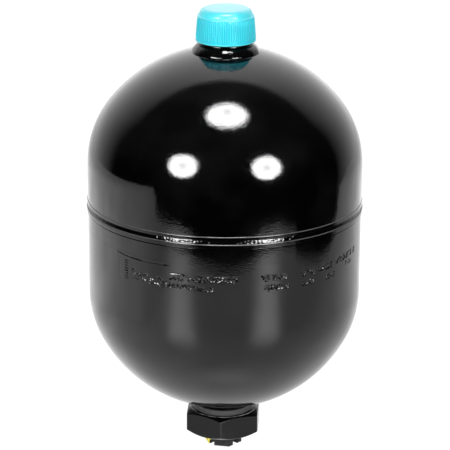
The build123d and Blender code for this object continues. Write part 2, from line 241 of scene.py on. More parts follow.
class StageSizes(bpy.types.PropertyGroup):
    """Floor, lamps and camera."""

    floor_reach: length("Floor reach", "How far the floor reaches to each side", 1.3)
    lamp_distance: length("Lamp distance", "From the vessel to a side lamp", 1.6)
    lamp_size: length("Lamp size", "Diameter of a side lamp", 0.68)
    top_distance: length("Top distance", "From the vessel to the top lamp", 1.3)
    top_width: length("Top width", "Width of the top lamp", 0.63)
    top_depth: length("Top depth", "Depth of the top lamp", 0.48)


GROUPS = {
    "shells": ShellSizes,
    "marks": MarkSizes,
    "welds": WeldSizes,
    "fittings": FittingSizes,
    "cap": CapSizes,
    "plug": PlugSizes,
    "diaphragm": DiaphragmSizes,
    "finishes": Finishes,
    "stage": StageSizes,
}


def sizes(context, group):
    """The property group of that name in the scene."""
    return getattr(context.scene, f"accumulator_{group}")


# Meshes


def bend(centre, radius, start, end, steps):
    """Points (radius, height) of an arc about a centre, with its angles in degrees."""
    angles = np.radians(np.linspace(start, end, steps + 1))
    return [(centre[0] + radius * math.cos(a), centre[1] + radius * math.sin(a)) for a in angles]


def new_piece(name, mesh, material):
    """An object at the origin with a mesh in the vessel's frame and one material."""
    mesh.name = name
    mesh.materials.clear()
    mesh.materials.append(material)
    piece = bpy.data.objects.new(name, mesh)
    bpy.context.scene.collection.objects.link(piece)
    return piece


def finish_mesh(mesh, sharp_angle):
    """Merges doubles, turns the faces outwards and marks the edges sharper than an angle."""
    work = bmesh.new()
    work.from_mesh(mesh)
    bmesh.ops.remove_doubles(work, verts=work.verts, dist=1e-6)
    bmesh.ops.recalc_face_normals(work, faces=work.faces)
    for face in work.faces:
        face.smooth = True
    work.to_mesh(mesh)
    work.free()
    mesh.set_sharp_from_angle(angle=math.radians(sharp_angle))
    return mesh


def grid_mesh(name, points, sharp_angle=40.0):
    """Closed mesh from rows of points that run round the vessel, first row joined to the last.

    The points are an array of rows, columns and coordinates. Points on the axis become one.
    """
    rows, columns = points.shape[:2]
    index = np.arange(rows * columns).reshape(rows, columns)
    across = np.roll(index, -1, axis=1)
    faces = np.stack([index, across, np.roll(across, -1, axis=0), np.roll(index, -1, axis=0)], axis=-1)
    mesh = bpy.data.meshes.new(name)
    mesh.from_pydata(points.reshape(-1, 3).tolist(), [], faces.reshape(-1, 4).tolist())
    return finish_mesh(mesh, sharp_angle)


def turned_points(outline, columns):
    """Rows of points of an outline of (radius, height) turned about the axis."""
    angles = np.linspace(0.0, 2.0 * math.pi, columns, endpoint=False)
    return placed_points(np.array(outline), angles)


def placed_points(outline, angles):
    """Rows of points of an outline at the given angles, which run from the front towards +X."""
    radius = np.repeat(outline[:, :1], len(angles), axis=1)
    height = np.repeat(outline[:, 1:], len(angles), axis=1)
    return round_points(radius, height, angles)


def round_points(radius, height, angles):
    """Points from arrays of radius and height, one column for each angle."""
    return np.stack([radius * np.sin(angles), -radius * np.cos(angles), height], axis=-1)


def turned_piece(name, outline, material, columns=128, sharp_angle=40.0):
    """Solid of revolution as a piece."""
    return new_piece(name, grid_mesh(name, turned_points(outline, columns), sharp_angle), material)


def crisp_copy(name, node, material, edge):
    """Copy of a CAD node with merged vertices, sharp edges by angle and a fine bevel."""
    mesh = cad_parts[node].data.copy()
    work = bmesh.new()
    work.from_mesh(mesh)
    bmesh.ops.remove_doubles(work, verts=work.verts, dist=1e-6)
    bmesh.ops.dissolve_limit(
        work, angle_limit=math.radians(1.0), verts=work.verts, edges=work.edges
    )
    for face in work.faces:
        face.smooth = True
    work.to_mesh(mesh)
    work.free()
    if "custom_normal" in mesh.attributes:
        mesh.attributes.remove(mesh.attributes["custom_normal"])
    mesh.set_sharp_from_angle(angle=math.radians(30.0))
    piece = new_piece(name, mesh, material)
    bevel = piece.modifiers.new("Edge", "BEVEL")
    bevel.width = edge
    bevel.segments = 2
    bevel.limit_method = "ANGLE"
    bevel.angle_limit = math.radians(40.0)
    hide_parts(node)
    return piece


def thread_ridge(height, angles, pitch):
    """Share of the thread's depth, from 0 in its root to 1 on its crest."""
    phase = np.mod(height / pitch - angles / (2.0 * math.pi), 1.0)
    flank = 1.0 - np.abs(2.0 * phase - 1.0)
    return np.clip(flank * 1.35 - 0.17, 0.0, 1.0)


# Materials


class Shader:
    """A Principled material with a few short ways to add nodes."""

    def __init__(self, name, colour, roughness, metallic=0.0):
        self.material = bpy.data.materials.new(name)
        self.material.use_nodes = True
        self.tree = self.material.node_tree
        self.surface = self.tree.nodes["Principled BSDF"]
        self.surface.inputs["Base Color"].default_value = (*colour, 1.0)
        self.surface.inputs["Roughness"].default_value = roughness
        self.surface.inputs["Metallic"].default_value = metallic
        self.place = self.tree.nodes.new("ShaderNodeTexCoord").outputs["Object"]
        self.normal = None

    def add(self, kind, inputs=None, **settings):
        """A node of that kind with its settings, and values or links for its inputs."""
        made = self.tree.nodes.new(kind)
        for key, value in settings.items():
            setattr(made, key, value)
        for key, value in (inputs or {}).items():
            if isinstance(value, bpy.types.NodeSocket):
                self.tree.links.new(value, made.inputs[key])
            else:
                made.inputs[key].default_value = value
        return made

    def noise(self, size, detail=2.0, stretch=(1.0, 1.0, 1.0)):
        """Noise with features of about a size in metres, longer where stretch is small."""
        place = self.place
        if stretch != (1.0, 1.0, 1.0):
            place = self.add("ShaderNodeMapping", {"Vector": place, "Scale": stretch}).outputs[0]
        made = self.add("ShaderNodeTexNoise", {"Vector": place, "Scale": 1.0 / size, "Detail": detail})
        return made.outputs["Fac"]

    def ramp(self, value, low, high, start=0.35, end=0.65):
        """A value carried from the range start to end over to the range low to high."""
        made = self.add(
            "ShaderNodeMapRange",
            {"Value": value, "From Min": start, "From Max": end, "To Min": low, "To Max": high},
        )
        return made.outputs[0]

    def bump(self, height, distance):
        """One more layer of bump, with its height in metres."""
        inputs = {"Height": height, "Distance": distance, "Strength": 1.0}
        if self.normal is not None:
            inputs["Normal"] = self.normal
        self.normal = self.add("ShaderNodeBump", inputs).outputs[0]
        self.tree.links.new(self.normal, self.surface.inputs["Normal"])

    def drive(self, socket, value):
        """Links a value to one input of the surface."""
        self.tree.links.new(value, self.surface.inputs[socket])

    def mix(self, share, first, second):
        """A colour between two colours."""
        made = self.add("ShaderNodeMix", {0: share, 6: (*first, 1.0), 7: (*second, 1.0)}, data_type="RGBA")
        return made.outputs[2]


def gloss_paint(name, colour, peel, unevenness=0.0, edges=()):
    """Black gloss paint with a fine orange peel, lumps under it on welds, or a painted highlight on the given edges
    with a random dust tone.
    """
    paint = Shader(name, colour, 0.3)
    coat = {"Specular IOR Level": 0.006, "Coat Weight": 1.0, "Coat IOR": 1.5}
    for key, value in coat.items():
        paint.surface.inputs[key].default_value = value
    paint.bump(paint.noise(0.010, 1.0), 0.00002)
    paint.bump(paint.noise(0.0021, 1.0), peel * 0.7)
    level = paint.add("ShaderNodeSeparateXYZ", {"Vector": paint.place}).outputs["Z"]
    dome = paint.ramp(level, 0.2, 1.0, WELD_LEVEL + 0.03, WELD_LEVEL + 0.06)
    grain = paint.add("ShaderNodeMath", {0: paint.noise(0.0009, 0.0), 1: dome}, operation="MULTIPLY")
    paint.bump(grain.outputs[0], peel * 2.3)
    paint.bump(paint.noise(0.0007, 0.0), peel)
    if unevenness:
        paint.bump(paint.noise(0.0028, 2.0), unevenness)
    paint.drive("Coat Roughness", paint.ramp(paint.noise(0.03, 3.0), 0.035, 0.075))
    paint.drive("Coat Normal", paint.normal)
    # Painted highlight: a lighter grey on the lips' rounded edges stands in for the lamps' glint there; the dust is
    # a random lighter tone over the paint.
    if edges:
        inside = [
            paint.add("ShaderNodeMath", {
                0: paint.ramp(level, 0.0, 1.0, low, low + 0.0001),
                1: paint.ramp(level, 1.0, 0.0, high - 0.0001, high),
            }, operation="MULTIPLY").outputs[0]
            for low, high in edges
        ]
        painted_edge_highlight = paint.add("ShaderNodeMath", {0: inside[0], 1: inside[1]}, operation="MAXIMUM").outputs[0]
        dust = paint.ramp(paint.noise(0.022, 6.0), 0.0, 0.025, 0.45, 0.72)
        share = paint.add("ShaderNodeMath", {0: painted_edge_highlight, 1: dust}, operation="MAXIMUM").outputs[0]
        paint.drive("Base Color", paint.mix(share, colour, (0.085, 0.085, 0.085)))
    return paint.material


def satin_paint(name, colour, fit):
    """The same paint on machined faces: thin, less glossy and rougher on the neck, with a painted reflection there
    and a painted highlight on the upper rim's edge.
    """
    paint = Shader(name, colour, 0.2)
    paint.surface.inputs["Specular IOR Level"].default_value = 0.34
    paint.bump(paint.noise(0.0011, 3.0), 0.00001)
    paint.bump(paint.noise(0.006, 1.0), 0.00002)
    flat = paint.add("ShaderNodeVectorMath", {0: paint.place, 1: (1.0, 1.0, 0.0)}, operation="MULTIPLY")
    radius = paint.add("ShaderNodeVectorMath", {0: flat.outputs[0]}, operation="LENGTH").outputs["Value"]
    neck_rough_and_painted_reflection = paint.ramp(radius, 0.42, 0.0, fit.neck_radius + 0.001, fit.neck_radius + 0.002)
    rough = paint.add("ShaderNodeMath", {0: paint.ramp(paint.noise(0.008, 4.0), 0.08, 0.13), 1: neck_rough_and_painted_reflection})
    paint.drive("Roughness", rough.outputs[0])
    level = paint.add("ShaderNodeSeparateXYZ", {"Vector": paint.place}).outputs["Z"]
    # Painted highlight: a lighter grey ring on the edge of the hexagon's upper face, broken by noise.
    rim = fit.hex_top_face
    limits = (
        paint.ramp(radius, 0.0, 1.0, rim - 0.0006, rim - 0.0004),
        paint.ramp(radius, 1.0, 0.0, rim + 0.0001, rim + 0.0003),
        paint.ramp(level, 0.0, 1.0, fit.hex_height - 0.0005, fit.hex_height - 0.0003),
        paint.ramp(paint.noise(0.006, 2.0), 0.15, 1.0, 0.4, 0.6),
    )
    painted_edge_highlight = limits[0]
    for limit in limits[1:]:
        painted_edge_highlight = paint.add("ShaderNodeMath", {0: painted_edge_highlight, 1: limit}, operation="MULTIPLY").outputs[0]
    # Painted reflection: a lighter grey on the neck stands in for the floor mirrored there.
    painted_neck_reflection = paint.add("ShaderNodeMath", {0: neck_rough_and_painted_reflection, 1: 0.6}, operation="MULTIPLY").outputs[0]
    share = paint.add("ShaderNodeMath", {0: painted_edge_highlight, 1: painted_neck_reflection}, operation="MAXIMUM").outputs[0]
    paint.drive("Base Color", paint.mix(share, colour, (0.42, 0.42, 0.42)))
    return paint.material


def cap_plastic(name, colour, cap):
    """Moulded turquoise plastic with painted shade between the ribs, and a fine mould texture."""
    plastic = Shader(name, colour, 0.3)
    flat = plastic.add("ShaderNodeVectorMath", {0: plastic.place, 1: (1.0, 1.0, 0.0)}, operation="MULTIPLY")
    radius = plastic.add("ShaderNodeVectorMath", {0: flat.outputs[0]}, operation="LENGTH").outputs["Value"]
    level = plastic.add("ShaderNodeSeparateXYZ", {"Vector": plastic.place}).outputs["Z"]
    foot = BOSS_SHOULDER + 0.0003
    crest = plastic.ramp(level, cap.rim_radius, cap.shoulder_radius, foot, foot + cap.shoulder_height)
    depth = plastic.add("ShaderNodeMath", {0: crest, 1: radius}, operation="SUBTRACT").outputs[0]
    groove = plastic.ramp(depth, 0.0, 1.0, cap.rib_depth * 0.1, cap.rib_depth * 0.6)
    below = plastic.ramp(level, 1.0, 0.0, foot + cap.shoulder_height - cap.band - 0.0002,
                         foot + cap.shoulder_height - cap.band)
    share = plastic.add("ShaderNodeMath", {0: groove, 1: below}, operation="MULTIPLY").outputs[0]
    # Painted shade: the colour is darker in the grooves between the ribs, under the plain band.
    painted_rib_shade = (colour[0] * 0.1, colour[1] * 0.8, colour[2] * 0.86)
    plastic.drive("Base Color", plastic.mix(share, colour, painted_rib_shade))
    plastic.surface.inputs["Specular IOR Level"].default_value = 0.75
    plastic.surface.inputs["Subsurface Weight"].default_value = 0.15
    plastic.surface.inputs["Subsurface Radius"].default_value = (0.2, 0.8, 1.0)
    plastic.surface.inputs["Subsurface Scale"].default_value = 0.001
    plastic.surface.inputs["Sheen Weight"].default_value = 0.45
    plastic.surface.inputs["Sheen Roughness"].default_value = 0.35
    plastic.bump(plastic.noise(0.0009, 1.0), 0.000006)
    plastic.drive("Roughness", plastic.ramp(plastic.noise(0.004, 3.0), 0.28, 0.34))
    return plastic.material


def sprayed_plastic(name, overspray, bare, side, reach, level):
    """Yellow plastic under black overspray, which missed what stands out far to one side."""
    plastic = Shader(name, overspray, 0.5)
    plastic.surface.inputs["Specular IOR Level"].default_value = 0.26
    out = plastic.add("ShaderNodeVectorMath", {0: plastic.place, 1: side}, operation="DOT_PRODUCT")
    edge = plastic.add(
        "ShaderNodeMath",
        {0: plastic.noise(0.0016, 3.0), 1: 0.0004, 2: out.outputs["Value"]},
        operation="MULTIPLY_ADD",
    )
    missed = plastic.ramp(edge.outputs[0], 0.0, 1.0, reach, reach + 0.0001)
    split = plastic.add("ShaderNodeSeparateXYZ", {"Vector": plastic.place})
    below = plastic.ramp(split.outputs["Z"], 1.0, 0.0, level, level + 0.0001)
    share = plastic.add("ShaderNodeMath", {0: missed, 1: below}, operation="MULTIPLY").outputs[0]
    plastic.drive("Base Color", plastic.mix(share, overspray, bare))
    plastic.bump(plastic.noise(0.0005, 3.0), 0.00003)
    plastic.drive("Roughness", plastic.ramp(plastic.noise(0.003, 3.0), 0.38, 0.6))
    return plastic.material


def moulded_rubber(name, colour):
    """Matt black rubber with a fine grain and a dusty bloom."""
    rubber = Shader(name, colour, 0.6)
    bloom = tuple(min(1.0, c * 2.2) for c in colour)
    rubber.drive("Base Color", rubber.mix(rubber.ramp(rubber.noise(0.012, 4.0), 0.0, 0.6), colour, bloom))
    rubber.bump(rubber.noise(0.0006, 3.0), 0.00004)
    rubber.drive("Roughness", rubber.ramp(rubber.noise(0.004, 3.0), 0.5, 0.72))
    return rubber.material


def turned_steel(name, colour):
    """Turned steel with rings of tool marks that follow the height and the radius."""
    steel = Shader(name, colour, 0.3, metallic=1.0)
    split = steel.add("ShaderNodeSeparateXYZ", {"Vector": steel.place})
    flat = steel.add("ShaderNodeVectorMath", {0: steel.place, 1: (1.0, 1.0, 0.0)}, operation="MULTIPLY")
    radius = steel.add("ShaderNodeVectorMath", {0: flat.outputs[0]}, operation="LENGTH")
    sum_ = steel.add("ShaderNodeMath", {0: split.outputs["Z"], 1: radius.outputs["Value"]}, operation="ADD")
    wave = steel.add("ShaderNodeMath", {0: sum_.outputs[0], 1: 2.0 * math.pi / 0.00018}, operation="MULTIPLY")
    rings = steel.add("ShaderNodeMath", {0: wave.outputs[0]}, operation="SINE")
    steel.bump(rings.outputs[0], 0.000002)
    steel.bump(steel.noise(0.0009, 3.0), 0.000006)
    steel.drive("Roughness", steel.ramp(steel.noise(0.004, 3.0), 0.24, 0.4))
    return steel.material


def lip_highlight_levels(shells):
    """Levels between which a lighter colour is painted on the rounded edges of both lips, as a highlight."""
    upper = WELD_LEVEL + shells.upper_lip_edge
    lower = WELD_LEVEL - shells.weld_below
    return [(upper - 0.0005, upper + 0.0001), (lower - 0.0005, lower + 0.0001)]


def material_of(context, slot):
    """The material for a slot of the record, made once."""
    known = bpy.data.materials.get(f"{slot}_look")
    if known:
        return known
    finishes = sizes(context, "finishes")
    name = f"{slot}_look"
    makers = {
        "shell_paint": lambda: gloss_paint(
            name, finishes.black, 0.000014, edges=lip_highlight_levels(sizes(context, "shells"))),
        "weld_paint": lambda: gloss_paint(name, finishes.black, 0.00002, 0.00004),
        "hexagon_paint": lambda: satin_paint(name, finishes.black, sizes(context, "fittings")),
        "bare_steel": lambda: turned_steel(name, finishes.steel),
        "cap_plastic": lambda: cap_plastic(name, finishes.cap, sizes(context, "cap")),
        "plug_plastic": lambda: sprayed_plastic(
            name, finishes.overspray, finishes.plug, (-0.951, -0.309, 0.0), 0.0106, -0.0022
        ),
        "diaphragm_rubber": lambda: moulded_rubber(name, finishes.rubber),
        "button_plastic": lambda: moulded_rubber(name, finishes.button),
        "seal_copper": lambda: turned_steel(name, finishes.copper),
    }
    return makers[slot]()


def settle(piece, body):
    """Lets a finished piece ride on its body."""
    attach(piece, body)
    return piece


# Shells


def wall_arcs(straight, inset, excess, radius, depth, steps):
    """Knuckle and crown of a shell as heights above the weld plane, out to a radius."""
    drop = math.sqrt((inset + excess) ** 2 - inset ** 2)
    join = math.degrees(math.atan2(drop, inset))
    crown = radius + excess - depth

    def until(end_radius):
        knuckle = bend((inset, straight), radius - inset - depth, 0.0, join, steps)
        end = math.degrees(math.acos(end_radius / crown))
        return knuckle + bend((0.0, straight - drop), crown, join, end, 2 * steps)[1:]

    return until


def crown_height(straight, inset, excess, body_radius, radius):
    """Height of a shell's outside above the weld plane, at a radius on its crown."""
    drop = math.sqrt((inset + excess) ** 2 - inset ** 2)
    return straight - drop + math.sqrt((body_radius + excess) ** 2 - radius ** 2)


def upper_crown(shells, radius):
    """Level of the upper shell's outside at a radius."""
    rise = crown_height(
        shells.upper_straight, shells.upper_inset, shells.upper_excess, shells.body_radius, radius
    )
    return WELD_LEVEL + rise


def lower_crown(shells, radius):
    """Level of the lower shell's outside at a radius."""
    drop = crown_height(
        shells.lower_straight, shells.lower_inset, shells.lower_excess, shells.body_radius, radius
    )
    return WELD_LEVEL - drop


def drawn_in(shells, start):
    """Wall beside the girth weld, which shrank as it cooled and drew the wall in a little."""
    shares = [k / 8 for k in range(9)]
    return [
        (shells.body_radius - shells.shrinkage * (1.0 - t) ** 2, start + t * shells.shrunk_width)
        for t in shares
    ]


def upper_shell_outline(shells, hole):
    """Closed outline of the upper shell, from its lip over the crown and back inside."""
    dome = (shells.upper_straight, shells.upper_inset, shells.upper_excess, shells.body_radius)
    outside = wall_arcs(*dome, 0.0, 26)(hole)
    inside = wall_arcs(*dome, shells.wall, 10)(hole)
    body, edge, rise = shells.body_radius, shells.upper_lip_edge, shells.upper_lip_rise
    turn = shells.lip_round
    lip = [
        (body + rise - 0.0001, shells.weld_above),
        (body + rise, shells.weld_above + 0.0001),
        (body + rise, edge - turn),
        *bend((body + rise - turn, edge - turn * math.sin(LIP_BEND)), turn, 0.0, math.degrees(LIP_BEND), 6),
        *drawn_in(shells, edge),
    ]
    root = [
        (shells.body_radius - shells.wall, 0.0),
        (shells.body_radius - shells.weld_depth, 0.0),
    ]
    outline = lip + outside + inside[::-1] + root
    return [(radius, WELD_LEVEL + height) for radius, height in outline]


def lower_shell_outline(shells, marks, hole):
    """Closed outline of the lower shell, with fine rows where marks are punched."""
    dome = (shells.lower_straight, shells.lower_inset, shells.lower_excess, shells.body_radius)
    outside = wall_arcs(*dome, 0.0, 18)(hole)
    inside = wall_arcs(*dome, shells.wall, 4)(hole)
    body = shells.body_radius
    rise, toe, foot = shells.lower_lip_rise, shells.weld_below, shells.land_foot
    turn = shells.lip_round
    land = [
        (body - 0.0001, toe),
        *bend((body + rise - turn, toe + turn * math.sin(LIP_BEND)), turn, -math.degrees(LIP_BEND), 0.0, 6),
        (body + rise, toe + turn),
        (body + rise, foot),
        (body - shells.groove_depth, foot + shells.groove_width * 0.6),
        *drawn_in(shells, foot + shells.groove_width),
    ]
    top, bottom = MARK_BAND
    rows = int((bottom - top) / marks.grid)
    wall = [(body, top + (bottom - top) * k / rows) for k in range(rows + 1)]
    root = [(body - shells.wall, 0.0), (body - shells.weld_depth, 0.0)]
    outline = land + wall + outside + inside[::-1] + root
    return [(radius, WELD_LEVEL - height) for radius, height in outline]


# The lips' rounded edges end at this slope.
LIP_BEND = math.radians(53.0)

# Punched marks: (first angle, last angle, height at the first, height at the last, tallness) in
# degrees from the front towards +X and in metres under the weld plane. They are plain strokes.
MARK_BAND = (0.0150, 0.0335)
MARK_ROWS = [
    (-39.9, -22.8, 0.0250, 0.0282, 0.0024),
    (-39.4, -23.4, 0.0284, 0.0306, 0.0024),
    (-21.9, -17.6, 0.0243, 0.0248, 0.0030),
    (-16.4, 5.0, 0.0238, 0.0240, 0.0034),
    (-22.0, -5.0, 0.0294, 0.0304, 0.0026),
    (15.6, 18.6, 0.0240, 0.0242, 0.0034),
    (20.0, 25.4, 0.0240, 0.0242, 0.0028),
    (16.6, 20.4, 0.0304, 0.0304, 0.0034),
    (21.4, 26.4, 0.0304, 0.0302, 0.0028),
    (33.4, 48.8, 0.0240, 0.0236, 0.0034),
    (33.6, 38.8, 0.0306, 0.0304, 0.0028),
    (46.6, 50.8, 0.0306, 0.0302, 0.0030),
    (52.4, 68.2, 0.0226, 0.0218, 0.0034),
    (59.8, 64.0, 0.0270, 0.0268, 0.0030),
]
MARKED_SPANS = [(-49.8, 6.4), (14.4, 27.6), (32.2, 69.6)]
MARK_COLUMN = (-43.2, 0.0198, 0.0312)
MARK_BAR = ((-21.9, 0.0219), (-17.9, 0.0221))
SCRIBED_LINES = [
    [(-48.6, 0.0160), (-41.4, 0.0172), (-33.6, 0.0174), (-27.5, 0.0175), (-22.4, 0.0172)],
    [(-47.1, 0.0198), (-47.1, 0.0320)],
]


def row_strokes(row, marks, body, chance):
    """Short plain strokes that fill one row, upright or leaning, in two or three storeys."""
    first, last, high, low, tall = row
    start, end = math.radians(first) * body, math.radians(last) * body
    count = max(2, round((end - start) / marks.pitch))
    strokes = []
    for k in range(count + 1):
        along = start + (end - start) * k / count
        level = high + (low - high) * k / count
        for storey in (-0.36, 0.02, 0.38):
            if chance.random() < 0.22:
                continue
            x = along + chance.uniform(-0.25, 0.25) * marks.pitch
            z = level + storey * tall
            lean = chance.choice((0.0, 0.0, 0.5, -0.5)) * marks.pitch
            reach = tall * chance.uniform(0.06, 0.22)
            strokes.append(((x - lean / 2, z - reach), (x + lean / 2, z + reach), chance.uniform(0.7, 1.0)))
    return strokes


def punched_strokes(shells, marks):
    """All strokes as ((arc, depth under the weld), (arc, depth), width share)."""
    chance = random.Random(11)
    body = shells.body_radius
    strokes = []
    for row in MARK_ROWS:
        strokes += row_strokes(row, marks, body, chance)
    angle, top, bottom = MARK_COLUMN
    along = math.radians(angle) * body
    count = round((bottom - top) / marks.pitch)
    for k in range(count + 1):
        level = top + (bottom - top) * k / count
        for side in (-0.0008, 0.0006):
            reach = chance.uniform(0.0002, 0.0007)
            strokes.append(((along + side - reach, level), (along + side + reach, level), 0.9))
    bar = [(math.radians(a) * body, level) for a, level in MARK_BAR]
    strokes.append((*bar, 1.6))
    for line in SCRIBED_LINES:
        places = [(math.radians(a) * body, level) for a, level in line]
        strokes += [(here, there, 0.6) for here, there in zip(places, places[1:])]
    return strokes


def dent_depths(angles, levels, strokes, shells, marks):
    """Depth of the punched strokes over a grid of levels and angles."""
    arc, level = np.meshgrid(angles * shells.body_radius, levels)
    depth = np.zeros_like(arc)
    for here, there, width in strokes:
        reach = marks.width * width
        along, down = there[0] - here[0], there[1] - here[1]
        share = ((arc - here[0]) * along + (level - here[1]) * down) / max(along ** 2 + down ** 2, 1e-12)
        share = np.clip(share, 0.0, 1.0)
        away = np.hypot(arc - here[0] - share * along, level - here[1] - share * down)
        near = np.clip(1.5 - away / reach, 0.0, 1.0)
        depth = np.maximum(depth, marks.depth * min(1.0, width) * near * near * (3.0 - 2.0 * near))
    return depth


def marked_angles(shells, marks):
    """Columns of the lower shell: fine where marks are punched, coarse elsewhere."""
    fine, coarse = marks.grid / shells.body_radius, math.radians(2.4)
    columns = []
    for first, last in MARKED_SPANS:
        start, end = math.radians(first), math.radians(last)
        columns.append(np.linspace(start, end, math.ceil((end - start) / fine)))
    for before, after in zip(columns[:], columns[1:] + [columns[0] + 2.0 * math.pi]):
        count = math.ceil((after[0] - before[-1]) / coarse)
        columns.append(np.linspace(before[-1], after[0], count + 1)[1:-1])
    return np.sort(np.concatenate(columns))


class ACCUMULATOR_OT_upper_shell(bpy.types.Operator):
    """Build the gas-side shell"""

    bl_idname = "accumulator.upper_shell"
    bl_label = "Upper Shell"

    def execute(self, context):
        shells, fittings = sizes(context, "shells"), sizes(context, "fittings")
        outline = upper_shell_outline(shells, fittings.spigot)
        piece = turned_piece(
            "upper_dome", outline, material_of(context, "shell_paint"), columns=320, sharp_angle=30.0
        )
        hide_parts("upper_shell")
        settle(piece, "vessel")
        return {"FINISHED"}


class ACCUMULATOR_OT_lower_shell(bpy.types.Operator):
    """Build the fluid-side shell with its land, groove and punched marks"""

    bl_idname = "accumulator.lower_shell"
    bl_label = "Lower Shell"

    def execute(self, context):
        shells, marks = sizes(context, "shells"), sizes(context, "marks")
        outline = np.array(lower_shell_outline(shells, marks, sizes(context, "fittings").neck_radius))
        angles = marked_angles(shells, marks)
        radius = np.repeat(outline[:, :1], len(angles), axis=1)
        height = np.repeat(outline[:, 1:], len(angles), axis=1)
        levels = WELD_LEVEL - outline[:, 1]
        wall = (outline[:, 0] > shells.body_radius - 1e-6) & (levels > MARK_BAND[0] - 1e-6)
        wall &= levels < MARK_BAND[1] + 1e-6
        strokes = punched_strokes(shells, marks)
        radius[wall] -= dent_depths(angles, levels[wall], strokes, shells, marks)
        mesh = grid_mesh("lower_body", round_points(radius, height, angles), sharp_angle=30.0)
        piece = new_piece("lower_body", mesh, material_of(context, "shell_paint"))
        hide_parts("lower_shell")
        settle(piece, "vessel")
        return {"FINISHED"}


# Geometry Nodes


class NodeTree:
    """A Geometry Nodes tree with named inputs and a few short ways to add nodes."""

    def __init__(self, name, inputs):
        self.tree = bpy.data.node_groups.new(name, "GeometryNodeTree")
        face = self.tree.interface
        face.new_socket("Geometry", in_out="INPUT", socket_type="NodeSocketGeometry")
        for label, kind, default in inputs:
            socket = face.new_socket(label, in_out="INPUT", socket_type=kind)
            if default is not None:
                socket.default_value = default
        face.new_socket("Geometry", in_out="OUTPUT", socket_type="NodeSocketGeometry")
        self.given = self.tree.nodes.new("NodeGroupInput").outputs
        self.result = self.tree.nodes.new("NodeGroupOutput").inputs["Geometry"]

    def add(self, kind, inputs=None, **settings):
        """A node of that kind with its settings, and values or links for its inputs."""
        made = self.tree.nodes.new(kind)
        for key, value in settings.items():
            setattr(made, key, value)
        for key, value in (inputs or {}).items():
            if isinstance(value, bpy.types.NodeSocket):
                self.tree.links.new(value, made.inputs[key])
            else:
                made.inputs[key].default_value = value
        return made

    def math(self, operation, *values):
        """A Math node on two or three values."""
        made = self.add("ShaderNodeMath", dict(enumerate(values)), operation=operation)
        return made.outputs[0]

    def end(self, geometry):
        """Realizes the instances, sets the material and ends the tree."""
        real = self.add("GeometryNodeRealizeInstances", {"Geometry": geometry})
        painted = self.add(
            "GeometryNodeSetMaterial",
            {"Geometry": real.outputs["Geometry"], "Material": self.given["Material"]},
        )
        self.tree.links.new(painted.outputs["Geometry"], self.result)
        return self.tree


def grown(name, tree, values, material, sharp_angle=40.0):
    """Plain mesh piece from a Geometry Nodes tree with the given input values."""
    carrier = bpy.data.objects.new(name, bpy.data.meshes.new(name))
    bpy.context.scene.collection.objects.link(carrier)
    modifier = carrier.modifiers.new("Build", "NODES")
    modifier.node_group = tree
    ids = {s.name: s.identifier for s in tree.interface.items_tree if s.in_out == "INPUT"}
    for label, value in {**values, "Material": material}.items():
        modifier[ids[label]] = value
    carrier.update_tag()
    bpy.context.view_layer.update()
    evaluated = carrier.evaluated_get(bpy.context.evaluated_depsgraph_get())
    mesh = bpy.data.meshes.new_from_object(evaluated)
    if not mesh.polygons:
        raise RuntimeError(f"{name}: the node tree made no faces")
    carrier.modifiers.remove(modifier)
    bpy.data.objects.remove(carrier)
    return new_piece(name, finish_mesh(mesh, sharp_angle), material)


